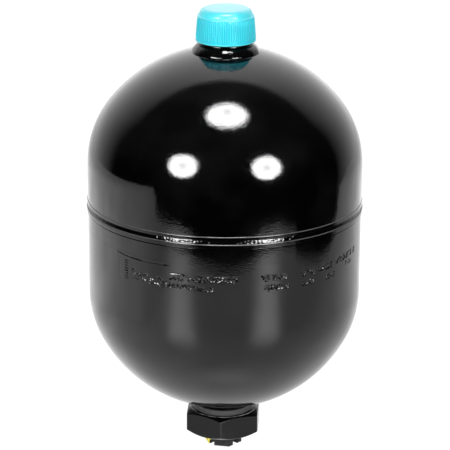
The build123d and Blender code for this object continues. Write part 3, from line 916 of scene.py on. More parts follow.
def bead_tree():
    """Tree of a weld bead: a closed ring whose front swells and ripples from toe to toe."""
    made = NodeTree("weld_bead", [
        ("First Radius", "NodeSocketFloat", 0.1),
        ("First Height", "NodeSocketFloat", 0.0),
        ("Last Radius", "NodeSocketFloat", 0.1),
        ("Last Height", "NodeSocketFloat", -0.01),
        ("Crown", "NodeSocketFloat", 0.001),
        ("Root", "NodeSocketFloat", 0.002),
        ("Ripples", "NodeSocketInt", 60),
        ("Ripple Depth", "NodeSocketFloat", 0.0001),
        ("Sweep", "NodeSocketFloat", 1.6),
        ("Unevenness", "NodeSocketFloat", 0.0002),
        ("Lump Size", "NodeSocketFloat", 0.003),
        ("Columns", "NodeSocketInt", 600),
        ("Seed", "NodeSocketInt", 1),
        ("Material", "NodeSocketMaterial", None),
    ])
    given = made.given
    grid = made.add(
        "GeometryNodeMeshGrid",
        {"Size X": 1.0, "Size Y": 1.0, "Vertices X": given["Columns"], "Vertices Y": 25},
    )
    place = made.add("ShaderNodeSeparateXYZ", {"Vector": made.add("GeometryNodeInputPosition").outputs[0]})
    turn = made.math("MULTIPLY", place.outputs["X"], 2.0 * math.pi)
    loop = made.math("MULTIPLY", place.outputs["Y"], 2.0 * math.pi)
    across = made.math("SINE", loop)
    out = made.math("COSINE", loop)
    front = made.math("MAXIMUM", out, 0.0)
    back = made.math("MAXIMUM", made.math("MULTIPLY", out, -1.0), 0.0)

    wide = made.math("MULTIPLY", made.math("SUBTRACT", given["First Radius"], given["Last Radius"]), 0.5)
    high = made.math("MULTIPLY", made.math("SUBTRACT", given["First Height"], given["Last Height"]), 0.5)
    middle_radius = made.math("ADD", given["Last Radius"], wide)
    middle_height = made.math("ADD", given["Last Height"], high)
    half = made.math("SQRT", made.math("ADD", made.math("MULTIPLY", wide, wide), made.math("MULTIPLY", high, high)))

    phase = made.math("MULTIPLY_ADD", made.math("MULTIPLY", across, across), given["Sweep"],
                      made.math("MULTIPLY", turn, given["Ripples"]))
    ripple = made.math("MULTIPLY", made.math("SINE", phase), given["Ripple Depth"])
    ring = made.add("ShaderNodeCombineXYZ", {
        "X": made.math("MULTIPLY", made.math("SINE", turn), middle_radius),
        "Y": made.math("MULTIPLY", made.math("COSINE", turn), middle_radius),
        "Z": made.math("MULTIPLY", across, half),
    })
    seeded = made.add("ShaderNodeVectorMath", {0: ring.outputs[0], 1: given["Seed"]}, operation="ADD")
    lumps = made.add("ShaderNodeTexNoise", {
        "Vector": seeded.outputs[0],
        "Scale": made.math("DIVIDE", 1.0, given["Lump Size"]),
        "Detail": 2.0,
    })
    lump = made.math("MULTIPLY", made.math("SUBTRACT", lumps.outputs["Fac"], 0.5), given["Unevenness"])
    swell = made.math("ADD", given["Crown"], made.math("ADD", ripple, lump))
    rise = made.math("SUBTRACT", made.math("MULTIPLY", front, swell), made.math("MULTIPLY", back, given["Root"]))

    # The outward side of the line from toe to toe, in the plane of radius and height
    out_radius = made.math("DIVIDE", high, half)
    out_height = made.math("MULTIPLY", made.math("DIVIDE", wide, half), -1.0)
    radius = made.math("MULTIPLY_ADD", across, wide, middle_radius)
    radius = made.math("MULTIPLY_ADD", rise, out_radius, radius)
    level = made.math("MULTIPLY_ADD", across, high, middle_height)
    level = made.math("MULTIPLY_ADD", rise, out_height, level)
    spot = made.add("ShaderNodeCombineXYZ", {
        "X": made.math("MULTIPLY", made.math("SINE", turn), radius),
        "Y": made.math("MULTIPLY", made.math("MULTIPLY", made.math("COSINE", turn), radius), -1.0),
        "Z": level,
    })
    shaped = made.add(
        "GeometryNodeSetPosition", {"Geometry": grid.outputs["Mesh"], "Position": spot.outputs[0]}
    )
    closed = made.add(
        "GeometryNodeMergeByDistance", {"Geometry": shaped.outputs["Geometry"], "Distance": 1e-6}
    )
    return made.end(closed.outputs["Geometry"])


def rib_tree():
    """Tree of the cap's grip: one tapering rib, repeated round the skirt."""
    made = NodeTree("cap_ribs", [
        ("Count", "NodeSocketInt", 80),
        ("Foot Radius", "NodeSocketFloat", 0.0188),
        ("Foot Height", "NodeSocketFloat", 0.262),
        ("Head Radius", "NodeSocketFloat", 0.0178),
        ("Head Height", "NodeSocketFloat", 0.275),
        ("Depth", "NodeSocketFloat", 0.0004),
        ("Width", "NodeSocketFloat", 0.0011),
        ("Material", "NodeSocketMaterial", None),
    ])
    given = made.given
    bar = made.add(
        "GeometryNodeMeshCylinder", {"Vertices": 10, "Side Segments": 12, "Radius": 1.0, "Depth": 1.0}
    )
    place = made.add("ShaderNodeSeparateXYZ", {"Vector": made.add("GeometryNodeInputPosition").outputs[0]})
    up = made.math("ADD", place.outputs["Z"], 0.5)
    wide = made.math("SUBTRACT", given["Head Radius"], given["Foot Radius"])
    core = made.math("MULTIPLY_ADD", up, wide, given["Foot Radius"])
    ends = made.math("MINIMUM", up, made.math("SUBTRACT", 1.0, up))
    fade = made.math("MAXIMUM", made.math("MINIMUM", made.math("MULTIPLY", ends, 10.0), 1.0), 0.15)
    out = made.math("MULTIPLY", made.math("MULTIPLY", place.outputs["X"], given["Depth"]), fade)
    long = made.math("SUBTRACT", given["Head Height"], given["Foot Height"])
    slim = made.add("ShaderNodeCombineXYZ", {
        "X": made.math("ADD", out, core),
        "Y": made.math("MULTIPLY", made.math("MULTIPLY", place.outputs["Y"], given["Width"]), 0.5),
        "Z": made.math("MULTIPLY_ADD", up, long, given["Foot Height"]),
    })
    rib = made.add("GeometryNodeSetPosition", {"Geometry": bar.outputs["Mesh"], "Position": slim.outputs[0]})
    spots = made.add("GeometryNodeMeshLine", {"Count": given["Count"], "Offset": (0.0, 0.0, 0.0)})
    number = made.add("GeometryNodeInputIndex").outputs[0]
    turn = made.math("DIVIDE", made.math("MULTIPLY", number, 2.0 * math.pi), given["Count"])
    around = made.add("GeometryNodeInstanceOnPoints", {
        "Points": spots.outputs[0],
        "Instance": rib.outputs[0],
        "Rotation": made.add("ShaderNodeCombineXYZ", {"Z": turn}).outputs[0],
    })
    return made.end(around.outputs[0])


class ACCUMULATOR_OT_welds(bpy.types.Operator):
    """Build the beads of the girth weld and of the welds round the boss and the neck"""

    bl_idname = "accumulator.welds"
    bl_label = "Welds"

    def execute(self, context):
        shells, welds, fittings = (sizes(context, g) for g in ("shells", "welds", "fittings"))
        tree = bead_tree()
        paint = material_of(context, "weld_paint")
        body = shells.body_radius
        girth = grown("girth_weld_bead", tree, {
            "First Radius": body - welds.recess,
            "First Height": WELD_LEVEL + shells.weld_above + 0.0001,
            "Last Radius": body + 0.00005,
            "Last Height": WELD_LEVEL - shells.weld_below - 0.0001,
            "Crown": welds.girth_crown,
            "Root": shells.weld_depth * 0.7,
            "Ripples": welds.girth_ripples,
            "Ripple Depth": welds.ripple_depth,
            "Unevenness": welds.unevenness,
            "Lump Size": 0.0012,
            "Columns": 2400,
            "Seed": 3,
        }, paint)
        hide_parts("shell_weld")
        settle(girth, "vessel")
        leg = welds.fillet_leg
        joints = [
            ("boss_weld_bead", "gas_boss_weld", fittings.boss_radius, upper_crown, 1.0, 7),
            ("neck_weld_bead", "port_weld", fittings.neck_radius, lower_crown, -1.0, 8),
        ]
        for name, node, inner, crown_at, side, seed in joints:
            wall_end = (inner - 0.0002, crown_at(shells, inner) + side * leg)
            shell_end = (inner + leg, crown_at(shells, inner + leg) - side * 0.0002)
            ends = (wall_end, shell_end) if side > 0 else (shell_end, wall_end)
            bead = grown(name, tree, {
                "First Radius": ends[0][0],
                "First Height": ends[0][1],
                "Last Radius": ends[1][0],
                "Last Height": ends[1][1],
                "Crown": welds.fillet_crown,
                "Root": leg * 0.7,
                "Ripples": welds.fillet_ripples,
                "Ripple Depth": welds.ripple_depth,
                "Unevenness": welds.unevenness * 3.0,
                "Lump Size": 0.0055,
                "Columns": 700,
                "Seed": seed,
            }, paint)
            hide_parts(node)
            settle(bead, "vessel")
        return {"FINISHED"}


# Fittings


class ACCUMULATOR_OT_gas_boss(bpy.types.Operator):
    """Build the boss for the charging device, with its thread"""

    bl_idname = "accumulator.gas_boss"
    bl_label = "Gas Boss"

    def execute(self, context):
        fit, shells = sizes(context, "fittings"), sizes(context, "shells")
        foot = upper_crown(shells, fit.boss_radius) - 0.0005
        spigot_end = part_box("gas_boss")[0].z
        seat = BOSS_TOP - fit.recess_depth
        hole_end = seat - fit.screw_hole_depth
        round_edge = 0.001
        thread_foot = BOSS_SHOULDER + fit.boss_relief
        root = fit.boss_thread - 0.0011
        outline = [
            (fit.gas_duct, spigot_end),
            (fit.spigot, spigot_end),
            (fit.spigot, foot),
            (fit.boss_radius, foot),
            *bend((fit.boss_radius - round_edge, BOSS_SHOULDER - round_edge), round_edge, 0.0, 90.0, 5),
            (root, BOSS_SHOULDER),
            (root, thread_foot - 0.0005),
        ]
        rows = 110
        thread = [(fit.boss_thread, thread_foot + (BOSS_TOP - 0.0012 - thread_foot) * k / rows)
                  for k in range(rows + 1)]
        crest_start = len(outline)
        outline += thread + [
            (root, BOSS_TOP),
            (fit.recess + 0.0003, BOSS_TOP),
            (fit.recess, BOSS_TOP - 0.0003),
            (fit.recess, seat),
            (fit.screw_hole, seat),
            (fit.screw_hole, hole_end),
            (fit.gas_duct, hole_end - 0.0018),
        ]
        points = np.array(outline)
        angles = np.linspace(0.0, 2.0 * math.pi, 144, endpoint=False)
        radius = np.repeat(points[:, :1], len(angles), axis=1)
        height = np.repeat(points[:, 1:], len(angles), axis=1)
        span = slice(crest_start, crest_start + len(thread))
        radius[span] -= 0.00092 * (1.0 - thread_ridge(height[span], angles, fit.boss_pitch))
        mesh = grid_mesh("gas_boss_body", round_points(radius, height, angles), sharp_angle=45.0)
        piece = new_piece("gas_boss_body", mesh, material_of(context, "weld_paint"))
        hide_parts("gas_boss")
        settle(piece, "vessel")
        return {"FINISHED"}


class ACCUMULATOR_OT_port_fitting(bpy.types.Operator):
    """Build the hexagon with its neck, port thread and passage"""

    bl_idname = "accumulator.port_fitting"
    bl_label = "Port Fitting"

    def execute(self, context):
        fit = sizes(context, "fittings")
        angles = np.linspace(0.0, 2.0 * math.pi, 480, endpoint=False)
        planes = np.radians(np.arange(6) * 60.0 + 30.0) + fit.hex_turn
        slope = np.cos(angles[:, None] - planes[None, :])
        reach = np.where(slope > 0.2, fit.hex_flats / 2 / np.maximum(slope, 0.2), 1.0)
        height = fit.hex_height
        heights = np.concatenate([
            np.linspace(0.0, 0.0042, 22)[:-1],
            np.linspace(0.0042, 0.0105, 8)[:-1],
            np.linspace(0.0105, height - 0.00006, 30),
            [height],
        ])
        low_cone = fit.hex_bottom_face + heights / math.tan(math.radians(32.0))
        high_cone = fit.hex_top_face + (height - heights) / math.tan(math.radians(20.0))
        softness = 0.00016
        total = np.exp(-(reach[None] - 0.02) / softness).sum(-1)
        total = total + np.exp(-(low_cone - 0.02) / softness)[:, None]
        total = total + np.exp(-(high_cone - 0.02) / softness)[:, None]
        side = 0.02 - softness * np.log(total)
        side = np.minimum(side, np.minimum(low_cone, high_cone)[:, None])

        neck_top = PORT_SEAT
        top = [
            (fit.hex_top_face - 0.00016, height),
            (fit.neck_radius, height),
            (fit.neck_radius - 0.0005, height + 0.0003),
            (fit.neck_radius + 0.0006, height + 0.0052),
            (fit.neck_radius, height + 0.0062),
            (fit.neck_radius, neck_top),
            (fit.passage, neck_top),
            (fit.passage, fit.port_thread + (fit.port_core - fit.passage) / 2),
        ]
        rows = 96
        mouth = fit.port_mouth - fit.port_core
        thread = [(fit.port_core, fit.port_thread - (fit.port_thread - mouth) * k / rows)
                  for k in range(rows + 1)]
        rest = np.array(top + thread + [(fit.port_mouth, 0.0)])
        radius = np.repeat(rest[:, :1], len(angles), axis=1)
        level = np.repeat(rest[:, 1:], len(angles), axis=1)
        span = slice(len(top), len(top) + len(thread))
        radius[span] += 0.0011 * (1.0 - thread_ridge(level[span], angles, fit.port_pitch))
        every = np.concatenate([side, radius])
        levels = np.concatenate([np.repeat(heights[:, None], len(angles), axis=1), level])
        mesh = grid_mesh("port_hexagon", round_points(every, levels, angles), sharp_angle=38.0)
        piece = new_piece("port_hexagon", mesh, material_of(context, "hexagon_paint"))
        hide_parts("port_fitting")
        settle(piece, "vessel")
        return {"FINISHED"}


class ACCUMULATOR_OT_inner_parts(bpy.types.Operator):
    """Finish the clamp ring, closing button, charging screw and its seal"""

    bl_idname = "accumulator.inner_parts"
    bl_label = "Inner Parts"

    def execute(self, context):
        parts = [
            ("bead_clamp", "clamp_ring", "vessel", "bare_steel", 0.0003),
            ("button", "closing_button", "closing_button", "button_plastic", 0.0003),
            ("gas_screw", "charging_screw", "charging_screw", "bare_steel", 0.00015),
            ("gas_screw_seal", "charging_screw_seal", "vessel", "seal_copper", 0.0001),
        ]
        for name, node, body, slot, edge in parts:
            piece = crisp_copy(name, node, material_of(context, slot), edge)
            settle(piece, body)
        return {"FINISHED"}


class ACCUMULATOR_OT_protective_cap(bpy.types.Operator):
    """Build the ribbed screw cap"""

    bl_idname = "accumulator.protective_cap"
    bl_label = "Protective Cap"

    def execute(self, context):
        cap = sizes(context, "cap")
        plastic = material_of(context, "cap_plastic")
        bottom = BOSS_SHOULDER + 0.0003
        shoulder = bottom + cap.shoulder_height
        top = shoulder + cap.crown_height
        taper = (cap.rim_radius - cap.shoulder_radius) / cap.shoulder_height
        crown = cap.shoulder_radius - cap.step
        rib_foot, rib_head = bottom + cap.rim_height, shoulder - cap.band

        def side(level):
            return cap.rim_radius - taper * (level - bottom)

        sunk = cap.rib_depth
        soft = 0.0003
        roof = top - cap.roof
        groove_top = bottom + cap.groove
        outline = [
            (0.0, top),
            (crown - cap.crown_round - 0.004, top - 0.00003),
            *bend((crown - cap.crown_round, top - cap.crown_round - 0.00006), cap.crown_round, 90.0, 0.0, 12),
            (crown, shoulder + 0.0002),
            (crown + 0.0002, shoulder),
            (cap.shoulder_radius - soft, shoulder),
            *bend((cap.shoulder_radius - soft, shoulder - soft), soft, 80.0, 5.0, 4),
            (side(rib_head), rib_head),
            (side(rib_head) - sunk, rib_head - 0.0002),
            (side(rib_foot) - sunk, rib_foot + 0.0002),
            (side(rib_foot), rib_foot),
            *bend((cap.rim_radius - soft, bottom + soft), soft, 0.0, -90.0, 4),
            (cap.rim_radius - cap.wall, bottom),
            (cap.bore + cap.sleeve + 0.0004, groove_top),
            (cap.bore + cap.sleeve, groove_top),
            (cap.bore + cap.sleeve, BOSS_SHOULDER),
            (cap.bore, BOSS_SHOULDER),
            (cap.bore, roof - 0.0005),
            (cap.bore - 0.0005, roof),
            (0.0, roof),
        ]
        body = turned_piece("cap_body", outline, plastic, columns=240, sharp_angle=42.0)
        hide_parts("protective_cap")
        settle(body, "protective_cap")
        pitch = 2.0 * math.pi * cap.rim_radius / cap.rib_count
        ribs = grown("cap_ribs", rib_tree(), {
            "Count": cap.rib_count,
            "Foot Radius": side(rib_foot) - sunk,
            "Foot Height": rib_foot - 0.0002,
            "Head Radius": side(rib_head) - sunk,
            "Head Height": rib_head + 0.0002,
            "Depth": sunk,
            "Width": pitch * 0.54,
        }, plastic)
        settle(ribs, "protective_cap")
        return {"FINISHED"}


def slotted_head(plug):
    """Hexagon head cut across twice from below, which leaves four lugs."""
    corner = plug.head_flats / math.sqrt(3)
    top, bottom = -plug.flange + 0.0003, FLOOR_LEVEL
    middle = bottom + plug.slot_depth
    flat = bmesh.new()
    turns = [math.radians(60.0 * k + 30.0) + plug.head_turn for k in range(6)]
    flat.faces.new([flat.verts.new((corner * math.cos(t), corner * math.sin(t), 0.0)) for t in turns])
    cuts = [Vector((-math.sin(t), math.cos(t), 0.0)) for t in (plug.slot_turn, plug.slot_turn + math.pi / 2)]
    for across in cuts:
        for side in (-0.5, 0.5):
            every = flat.verts[:] + flat.edges[:] + flat.faces[:]
            bmesh.ops.bisect_plane(
                flat, geom=every, plane_co=across * side * plug.slot_width, plane_no=across
            )

    def is_lug(face):
        centre = face.calc_center_median()
        return all(abs(centre.dot(across)) > plug.slot_width / 2 for across in cuts)

    faces = []
    for face in flat.faces:
        corners = [(v.co.x, v.co.y) for v in face.verts]
        faces.append([(x, y, top) for x, y in corners])
        faces.append([(x, y, bottom if is_lug(face) else middle) for x, y in corners])
        for edge in face.edges:
            (ax, ay, _), (bx, by, _) = (v.co for v in edge.verts)
            beside = [other for other in edge.link_faces if other is not face]
            spans = [] if beside else [(middle, top)]
            if is_lug(face) and not (beside and is_lug(beside[0])):
                spans.append((bottom, middle))
            faces += [[(ax, ay, low), (bx, by, low), (bx, by, high), (ax, ay, high)] for low, high in spans]
    flat.free()
    points = [point for face in faces for point in face]
    numbers = iter(range(len(points)))
    mesh = bpy.data.meshes.new("plug_lugs")
    mesh.from_pydata(points, [], [[next(numbers) for _ in face] for face in faces])
    return finish_mesh(mesh, 30.0)


class ACCUMULATOR_OT_port_plug(bpy.types.Operator):
    """Build the transit plug in the port"""

    bl_idname = "accumulator.port_plug"
    bl_label = "Port Plug"

    def execute(self, context):
        plug, fit = sizes(context, "plug"), sizes(context, "fittings")
        plastic = material_of(context, "plug_plastic")
        soft = 0.0005
        inner = plug.barrel_radius - plug.wall
        outline = [
            (0.0, -plug.flange),
            *bend((plug.flange_radius - soft, -plug.flange + soft), soft, -90.0, 0.0, 4),
            (plug.flange_radius, -0.0002),
            (plug.flange_radius - 0.0002, 0.0),
            (plug.barrel_radius, 0.0),
        ]
        rows = 80
        thread = [(plug.barrel_radius, 0.0004 + (plug.barrel - 0.0014) * k / rows) for k in range(rows + 1)]
        first = len(outline)
        outline += thread + [
            (plug.barrel_radius - 0.001, plug.barrel),
            (inner, plug.barrel),
            (inner, 0.0),
            (0.0, 0.0),
        ]
        points = np.array(outline)
        angles = np.linspace(0.0, 2.0 * math.pi, 144, endpoint=False)
        radius = np.repeat(points[:, :1], len(angles), axis=1)
        height = np.repeat(points[:, 1:], len(angles), axis=1)
        span = slice(first, first + len(thread))
        radius[span] -= 0.0006 * (1.0 - thread_ridge(height[span], angles, fit.port_pitch))
        mesh = grid_mesh("plug_barrel", round_points(radius, height, angles), sharp_angle=45.0)
        barrel = new_piece("plug_barrel", mesh, plastic)
        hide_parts("port_plug")
        settle(barrel, "port_plug")
        lugs = new_piece("plug_lugs", slotted_head(plug), plastic)
        bevel = lugs.modifiers.new("Edge", "BEVEL")
        bevel.width = 0.0003
        bevel.segments = 2
        settle(lugs, "port_plug")
        return {"FINISHED"}


class ACCUMULATOR_OT_diaphragm(bpy.types.Operator):
    """Build the rubber cup, which in the real vessel moves with the closing button"""

    bl_idname = "accumulator.diaphragm"
    bl_label = "Diaphragm"

    def execute(self, context):
        shells, cup = sizes(context, "shells"), sizes(context, "diaphragm")
        dome = (shells.lower_straight, shells.lower_inset, shells.lower_excess, shells.body_radius)
        outer, inner = shells.wall + cup.gap, shells.wall + cup.gap + cup.rubber
        drop = math.sqrt((shells.lower_inset + shells.lower_excess) ** 2 - shells.lower_inset ** 2)
        centre = WELD_LEVEL - shells.lower_straight + drop
        foot = PORT_SEAT + cup.gap
        disc_top = PORT_SEAT + cup.disc_height
        floor = disc_top + cup.base
        crown = shells.body_radius + shells.lower_excess
        foot_radius = math.sqrt((crown - outer) ** 2 - (centre - foot) ** 2)
        floor_radius = math.sqrt((crown - inner) ** 2 - (centre - floor) ** 2)
        outside = wall_arcs(*dome, outer, 16)(foot_radius)
        inside = wall_arcs(*dome, inner, 16)(floor_radius)
        bead_outside = cup.groove_radius - cup.gap
        left, right = bead_outside - cup.bead_width, bead_outside
        high, low = cup.bead_level, cup.bead_level + cup.bead_height
        turn = cup.bead_round
        bead = [
            *bend((left + turn, high + turn), turn, 180.0, 270.0, 6),
            *bend((right - turn, high + turn), turn, 270.0, 360.0, 6),
            *bend((right - turn, low - turn), turn, 0.0, 90.0, 6),
        ]
        wall_steps = [(outside[0][0], low + (outside[0][1] - low) * k / 8) for k in range(9)]
        back_steps = [(inside[0][0], low - turn + (inside[0][1] - low + turn) * k / 8) for k in range(9)]
        shape = bead + wall_steps + outside[1:]
        hole, recess = cup.stem_radius + cup.gap, cup.disc_radius + cup.gap
        base = [(recess, foot), (recess, disc_top), (hole, disc_top), (hole, floor)]
        tail = inside[1:][::-1] + back_steps[::-1]
        outline = [(r, WELD_LEVEL - h) for r, h in shape] + base + [(r, WELD_LEVEL - h) for r, h in tail]
        piece = turned_piece("rubber_cup", outline, material_of(context, "diaphragm_rubber"), columns=160)
        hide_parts("diaphragm")
        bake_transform(piece)
        return {"FINISHED"}


# Stage

# Outline of the light table, as shares of its reach. In front it ends where the paint turns dark.
FLOOR_CORNERS = [
    (-1.0, -0.61), (-0.73, -0.46), (-0.40, -0.285), (-0.27, -0.37), (-0.21, -0.39), (0.21, -0.39), (0.32, -0.34),
    (0.372, -0.248), (0.345, -0.23), (0.40, 0.0), (0.44, 0.077), (0.60, 0.19), (1.0, 0.50),
    (1.0, 2.0), (-1.0, 2.0),
]


def lamp_place(azimuth, elevation, distance):
    """Point in a direction from the vessel, with the azimuth from the front towards +X."""
    a, e = math.radians(azimuth), math.radians(elevation)
    direction = Vector((math.sin(a) * math.cos(e), -math.cos(a) * math.cos(e), math.sin(e)))
    return Vector((0.0, 0.0, 0.2)) + direction * distance, direction


def glow_material(name, strength, middle, spot=(0.0, 0.0, 0.0)):
    """Emission with a greyer spot near its middle, as a lamp's diffuser has."""
    material = bpy.data.materials.new(name)
    material.use_nodes = True
    tree = material.node_tree
    tree.nodes.clear()
    place = tree.nodes.new("ShaderNodeTexCoord")
    away = tree.nodes.new("ShaderNodeVectorMath")
    away.operation = "DISTANCE"
    away.inputs[1].default_value = spot
    tree.links.new(place.outputs["Object"], away.inputs[0])
    spread = tree.nodes.new("ShaderNodeMapRange")
    spread.inputs["From Min"].default_value = 0.0
    spread.inputs["From Max"].default_value = 0.34
    spread.inputs["To Min"].default_value = middle
    spread.inputs["To Max"].default_value = strength
    tree.links.new(away.outputs["Value"], spread.inputs["Value"])
    glow = tree.nodes.new("ShaderNodeEmission")
    tree.links.new(spread.outputs[0], glow.inputs["Strength"])
    out = tree.nodes.new("ShaderNodeOutputMaterial")
    tree.links.new(glow.outputs[0], out.inputs["Surface"])
    return material


def make_lamp(name, azimuth, elevation, distance, width, depth, power, material):
    """A soft lamp for plain light and the bright diffuser that gloss paint mirrors."""
    spot, direction = lamp_place(azimuth, elevation, distance)
    turn = direction.to_track_quat("Z", "Y")
    light = bpy.data.lights.new(name, "AREA")
    light.shape = "ELLIPSE"
    light.size, light.size_y = width, depth
    light.energy = power
    lamp = bpy.data.objects.new(name, light)
    lamp.location = spot
    lamp.rotation_euler = turn.to_euler()
    lamp.visible_glossy = False
    lamp.visible_camera = False
    bpy.context.scene.collection.objects.link(lamp)
    work = bmesh.new()
    bmesh.ops.create_circle(work, cap_ends=True, segments=48, radius=1.0)
    mesh = bpy.data.meshes.new(name + "_diffuser")
    work.to_mesh(mesh)
    work.free()
    mesh.materials.append(material)
    diffuser = bpy.data.objects.new(name + "_diffuser", mesh)
    diffuser.location = spot
    diffuser.rotation_euler = turn.to_euler()
    diffuser.scale = (width / 2, depth / 2, 1.0)
    diffuser.visible_camera = False
    diffuser.visible_diffuse = False
    diffuser.visible_shadow = False
    diffuser.visible_transmission = False
    bpy.context.scene.collection.objects.link(diffuser)


def floor_material():
    """Semi-gloss floor that the camera sees white, with the vessel's soft shadow; for other rays it glows with
    painted light.
    """
    material = bpy.data.materials.new("floor_white")
    material.use_nodes = True
    tree = material.node_tree
    tree.nodes.clear()
    place = tree.nodes.new("ShaderNodeTexCoord")
    split = tree.nodes.new("ShaderNodeSeparateXYZ")
    tree.links.new(place.outputs["Object"], split.inputs[0])
    # Painted light: for rays other than the camera's the floor glows, brighter behind the vessel, dim in front and
    # near its edges, in uneven patches.
    slant = tree.nodes.new("ShaderNodeMath")
    slant.operation = "MULTIPLY_ADD"
    slant.inputs[1].default_value = -0.5
    tree.links.new(split.outputs["X"], slant.inputs[0])
    tree.links.new(split.outputs["Y"], slant.inputs[2])
    glow = tree.nodes.new("ShaderNodeMapRange")
    for key, number in (("From Min", -0.35), ("From Max", 0.35), ("To Min", 0.05), ("To Max", 0.95)):
        glow.inputs[key].default_value = number
    tree.links.new(slant.outputs[0], glow.inputs["Value"])
    edge = tree.nodes.new("ShaderNodeMapRange")
    for key, number in (("From Min", -0.145), ("From Max", 0.03), ("To Min", 0.0), ("To Max", 1.0)):
        edge.inputs[key].default_value = number
    tree.links.new(slant.outputs[0], edge.inputs["Value"])
    front = tree.nodes.new("ShaderNodeMapRange")
    for key, number in (("From Min", -0.42), ("From Max", -0.26), ("To Min", 0.0), ("To Max", 1.0)):
        front.inputs[key].default_value = number
    tree.links.new(split.outputs["X"], front.inputs["Value"])
    soft = tree.nodes.new("ShaderNodeMath")
    soft.operation = "MAXIMUM"
    tree.links.new(edge.outputs[0], soft.inputs[0])
    tree.links.new(front.outputs[0], soft.inputs[1])
    reach = tree.nodes.new("ShaderNodeVectorMath")
    reach.operation = "LENGTH"
    tree.links.new(place.outputs["Object"], reach.inputs[0])
    fade = tree.nodes.new("ShaderNodeMapRange")
    for key, number in (("From Min", 0.5), ("From Max", 1.0), ("To Min", 1.0), ("To Max", 0.45)):
        fade.inputs[key].default_value = number
    tree.links.new(reach.outputs["Value"], fade.inputs["Value"])
    faded = tree.nodes.new("ShaderNodeMath")
    faded.operation = "MULTIPLY"
    tree.links.new(glow.outputs[0], faded.inputs[0])
    tree.links.new(fade.outputs[0], faded.inputs[1])
    board = tree.nodes.new("ShaderNodeBsdfPrincipled")
    board.inputs["Base Color"].default_value = (0.62, 0.62, 0.62, 1.0)
    board.inputs["Roughness"].default_value = 0.28
    board.inputs["Specular IOR Level"].default_value = 0.3
    board.inputs["Emission Color"].default_value = (1.0, 1.0, 1.0, 1.0)
    glow_patches = tree.nodes.new("ShaderNodeTexNoise")
    glow_patches.inputs["Scale"].default_value = 9.0
    glow_patches.inputs["Detail"].default_value = 5.0
    tree.links.new(place.outputs["Object"], glow_patches.inputs["Vector"])
    cloudy = tree.nodes.new("ShaderNodeMapRange")
    for key, number in (("From Min", 0.3), ("From Max", 0.7), ("To Min", 0.72), ("To Max", 1.16)):
        cloudy.inputs[key].default_value = number
    tree.links.new(glow_patches.outputs["Fac"], cloudy.inputs["Value"])
    patchy_glow = tree.nodes.new("ShaderNodeMath")
    patchy_glow.operation = "MULTIPLY"
    tree.links.new(faded.outputs[0], patchy_glow.inputs[0])
    tree.links.new(cloudy.outputs[0], patchy_glow.inputs[1])
    softened = tree.nodes.new("ShaderNodeMath")
    softened.operation = "MULTIPLY"
    tree.links.new(patchy_glow.outputs[0], softened.inputs[0])
    tree.links.new(soft.outputs[0], softened.inputs[1])
    tree.links.new(softened.outputs[0], board.inputs["Emission Strength"])
    shadow = tree.nodes.new("ShaderNodeBsdfDiffuse")
    shadow.inputs["Color"].default_value = (0.3, 0.3, 0.3, 1.0)
    white = tree.nodes.new("ShaderNodeEmission")
    white.inputs["Strength"].default_value = 0.88
    seen = tree.nodes.new("ShaderNodeAddShader")
    tree.links.new(shadow.outputs[0], seen.inputs[0])
    tree.links.new(white.outputs[0], seen.inputs[1])
    path = tree.nodes.new("ShaderNodeLightPath")
    mix = tree.nodes.new("ShaderNodeMixShader")
    tree.links.new(path.outputs["Is Camera Ray"], mix.inputs[0])
    tree.links.new(board.outputs[0], mix.inputs[1])
    tree.links.new(seen.outputs[0], mix.inputs[2])
    out = tree.nodes.new("ShaderNodeOutputMaterial")
    tree.links.new(mix.outputs[0], out.inputs["Surface"])
    return material


def make_world():
    """White behind the vessel for the camera, and a bright back and a dark front for the paint."""
    world = bpy.data.worlds.new("studio")
    bpy.context.scene.world = world
    world.use_nodes = True
    tree = world.node_tree
    tree.nodes.clear()

    def math_node(operation, *values):
        made = tree.nodes.new("ShaderNodeMath")
        made.operation = operation
        for k, value in enumerate(values):
            if isinstance(value, bpy.types.NodeSocket):
                tree.links.new(value, made.inputs[k])
            else:
                made.inputs[k].default_value = value
        return made.outputs[0]

    def ramp(value, start, end, low, high):
        made = tree.nodes.new("ShaderNodeMapRange")
        tree.links.new(value, made.inputs["Value"])
        for key, number in (("From Min", start), ("From Max", end), ("To Min", low), ("To Max", high)):
            made.inputs[key].default_value = number
        return made.outputs[0]

    split = tree.nodes.new("ShaderNodeSeparateXYZ")
    tree.links.new(tree.nodes.new("ShaderNodeTexCoord").outputs["Generated"], split.inputs[0])
    away, back, up = split.outputs
    flat = math_node("SQRT", math_node("ADD", math_node("MULTIPLY", away, away), math_node("MULTIPLY", back, back)))
    facing = math_node("DIVIDE", back, math_node("MAXIMUM", flat, 1e-4))
    wall = ramp(facing, 0.25, 1.0, 0.0, 1.75)
    rise = math_node("DIVIDE", up, math_node("MAXIMUM", back, 1e-3))
    under_edge = ramp(rise, 2.3, 2.75, 1.0, 0.05)
    shade = math_node("ADD", math_node("MULTIPLY", wall, under_edge), ramp(up, 0.0, 0.7, 0.004, 0.06))
    around = tree.nodes.new("ShaderNodeBackground")
    tree.links.new(shade, around.inputs["Strength"])
    white = tree.nodes.new("ShaderNodeBackground")
    white.inputs["Color"].default_value = (1.0, 1.0, 1.0, 1.0)
    path = tree.nodes.new("ShaderNodeLightPath")
    mix = tree.nodes.new("ShaderNodeMixShader")
    tree.links.new(path.outputs["Is Camera Ray"], mix.inputs[0])
    tree.links.new(around.outputs[0], mix.inputs[1])
    tree.links.new(white.outputs[0], mix.inputs[2])
    out = tree.nodes.new("ShaderNodeOutputWorld")
    tree.links.new(mix.outputs[0], out.inputs["Surface"])


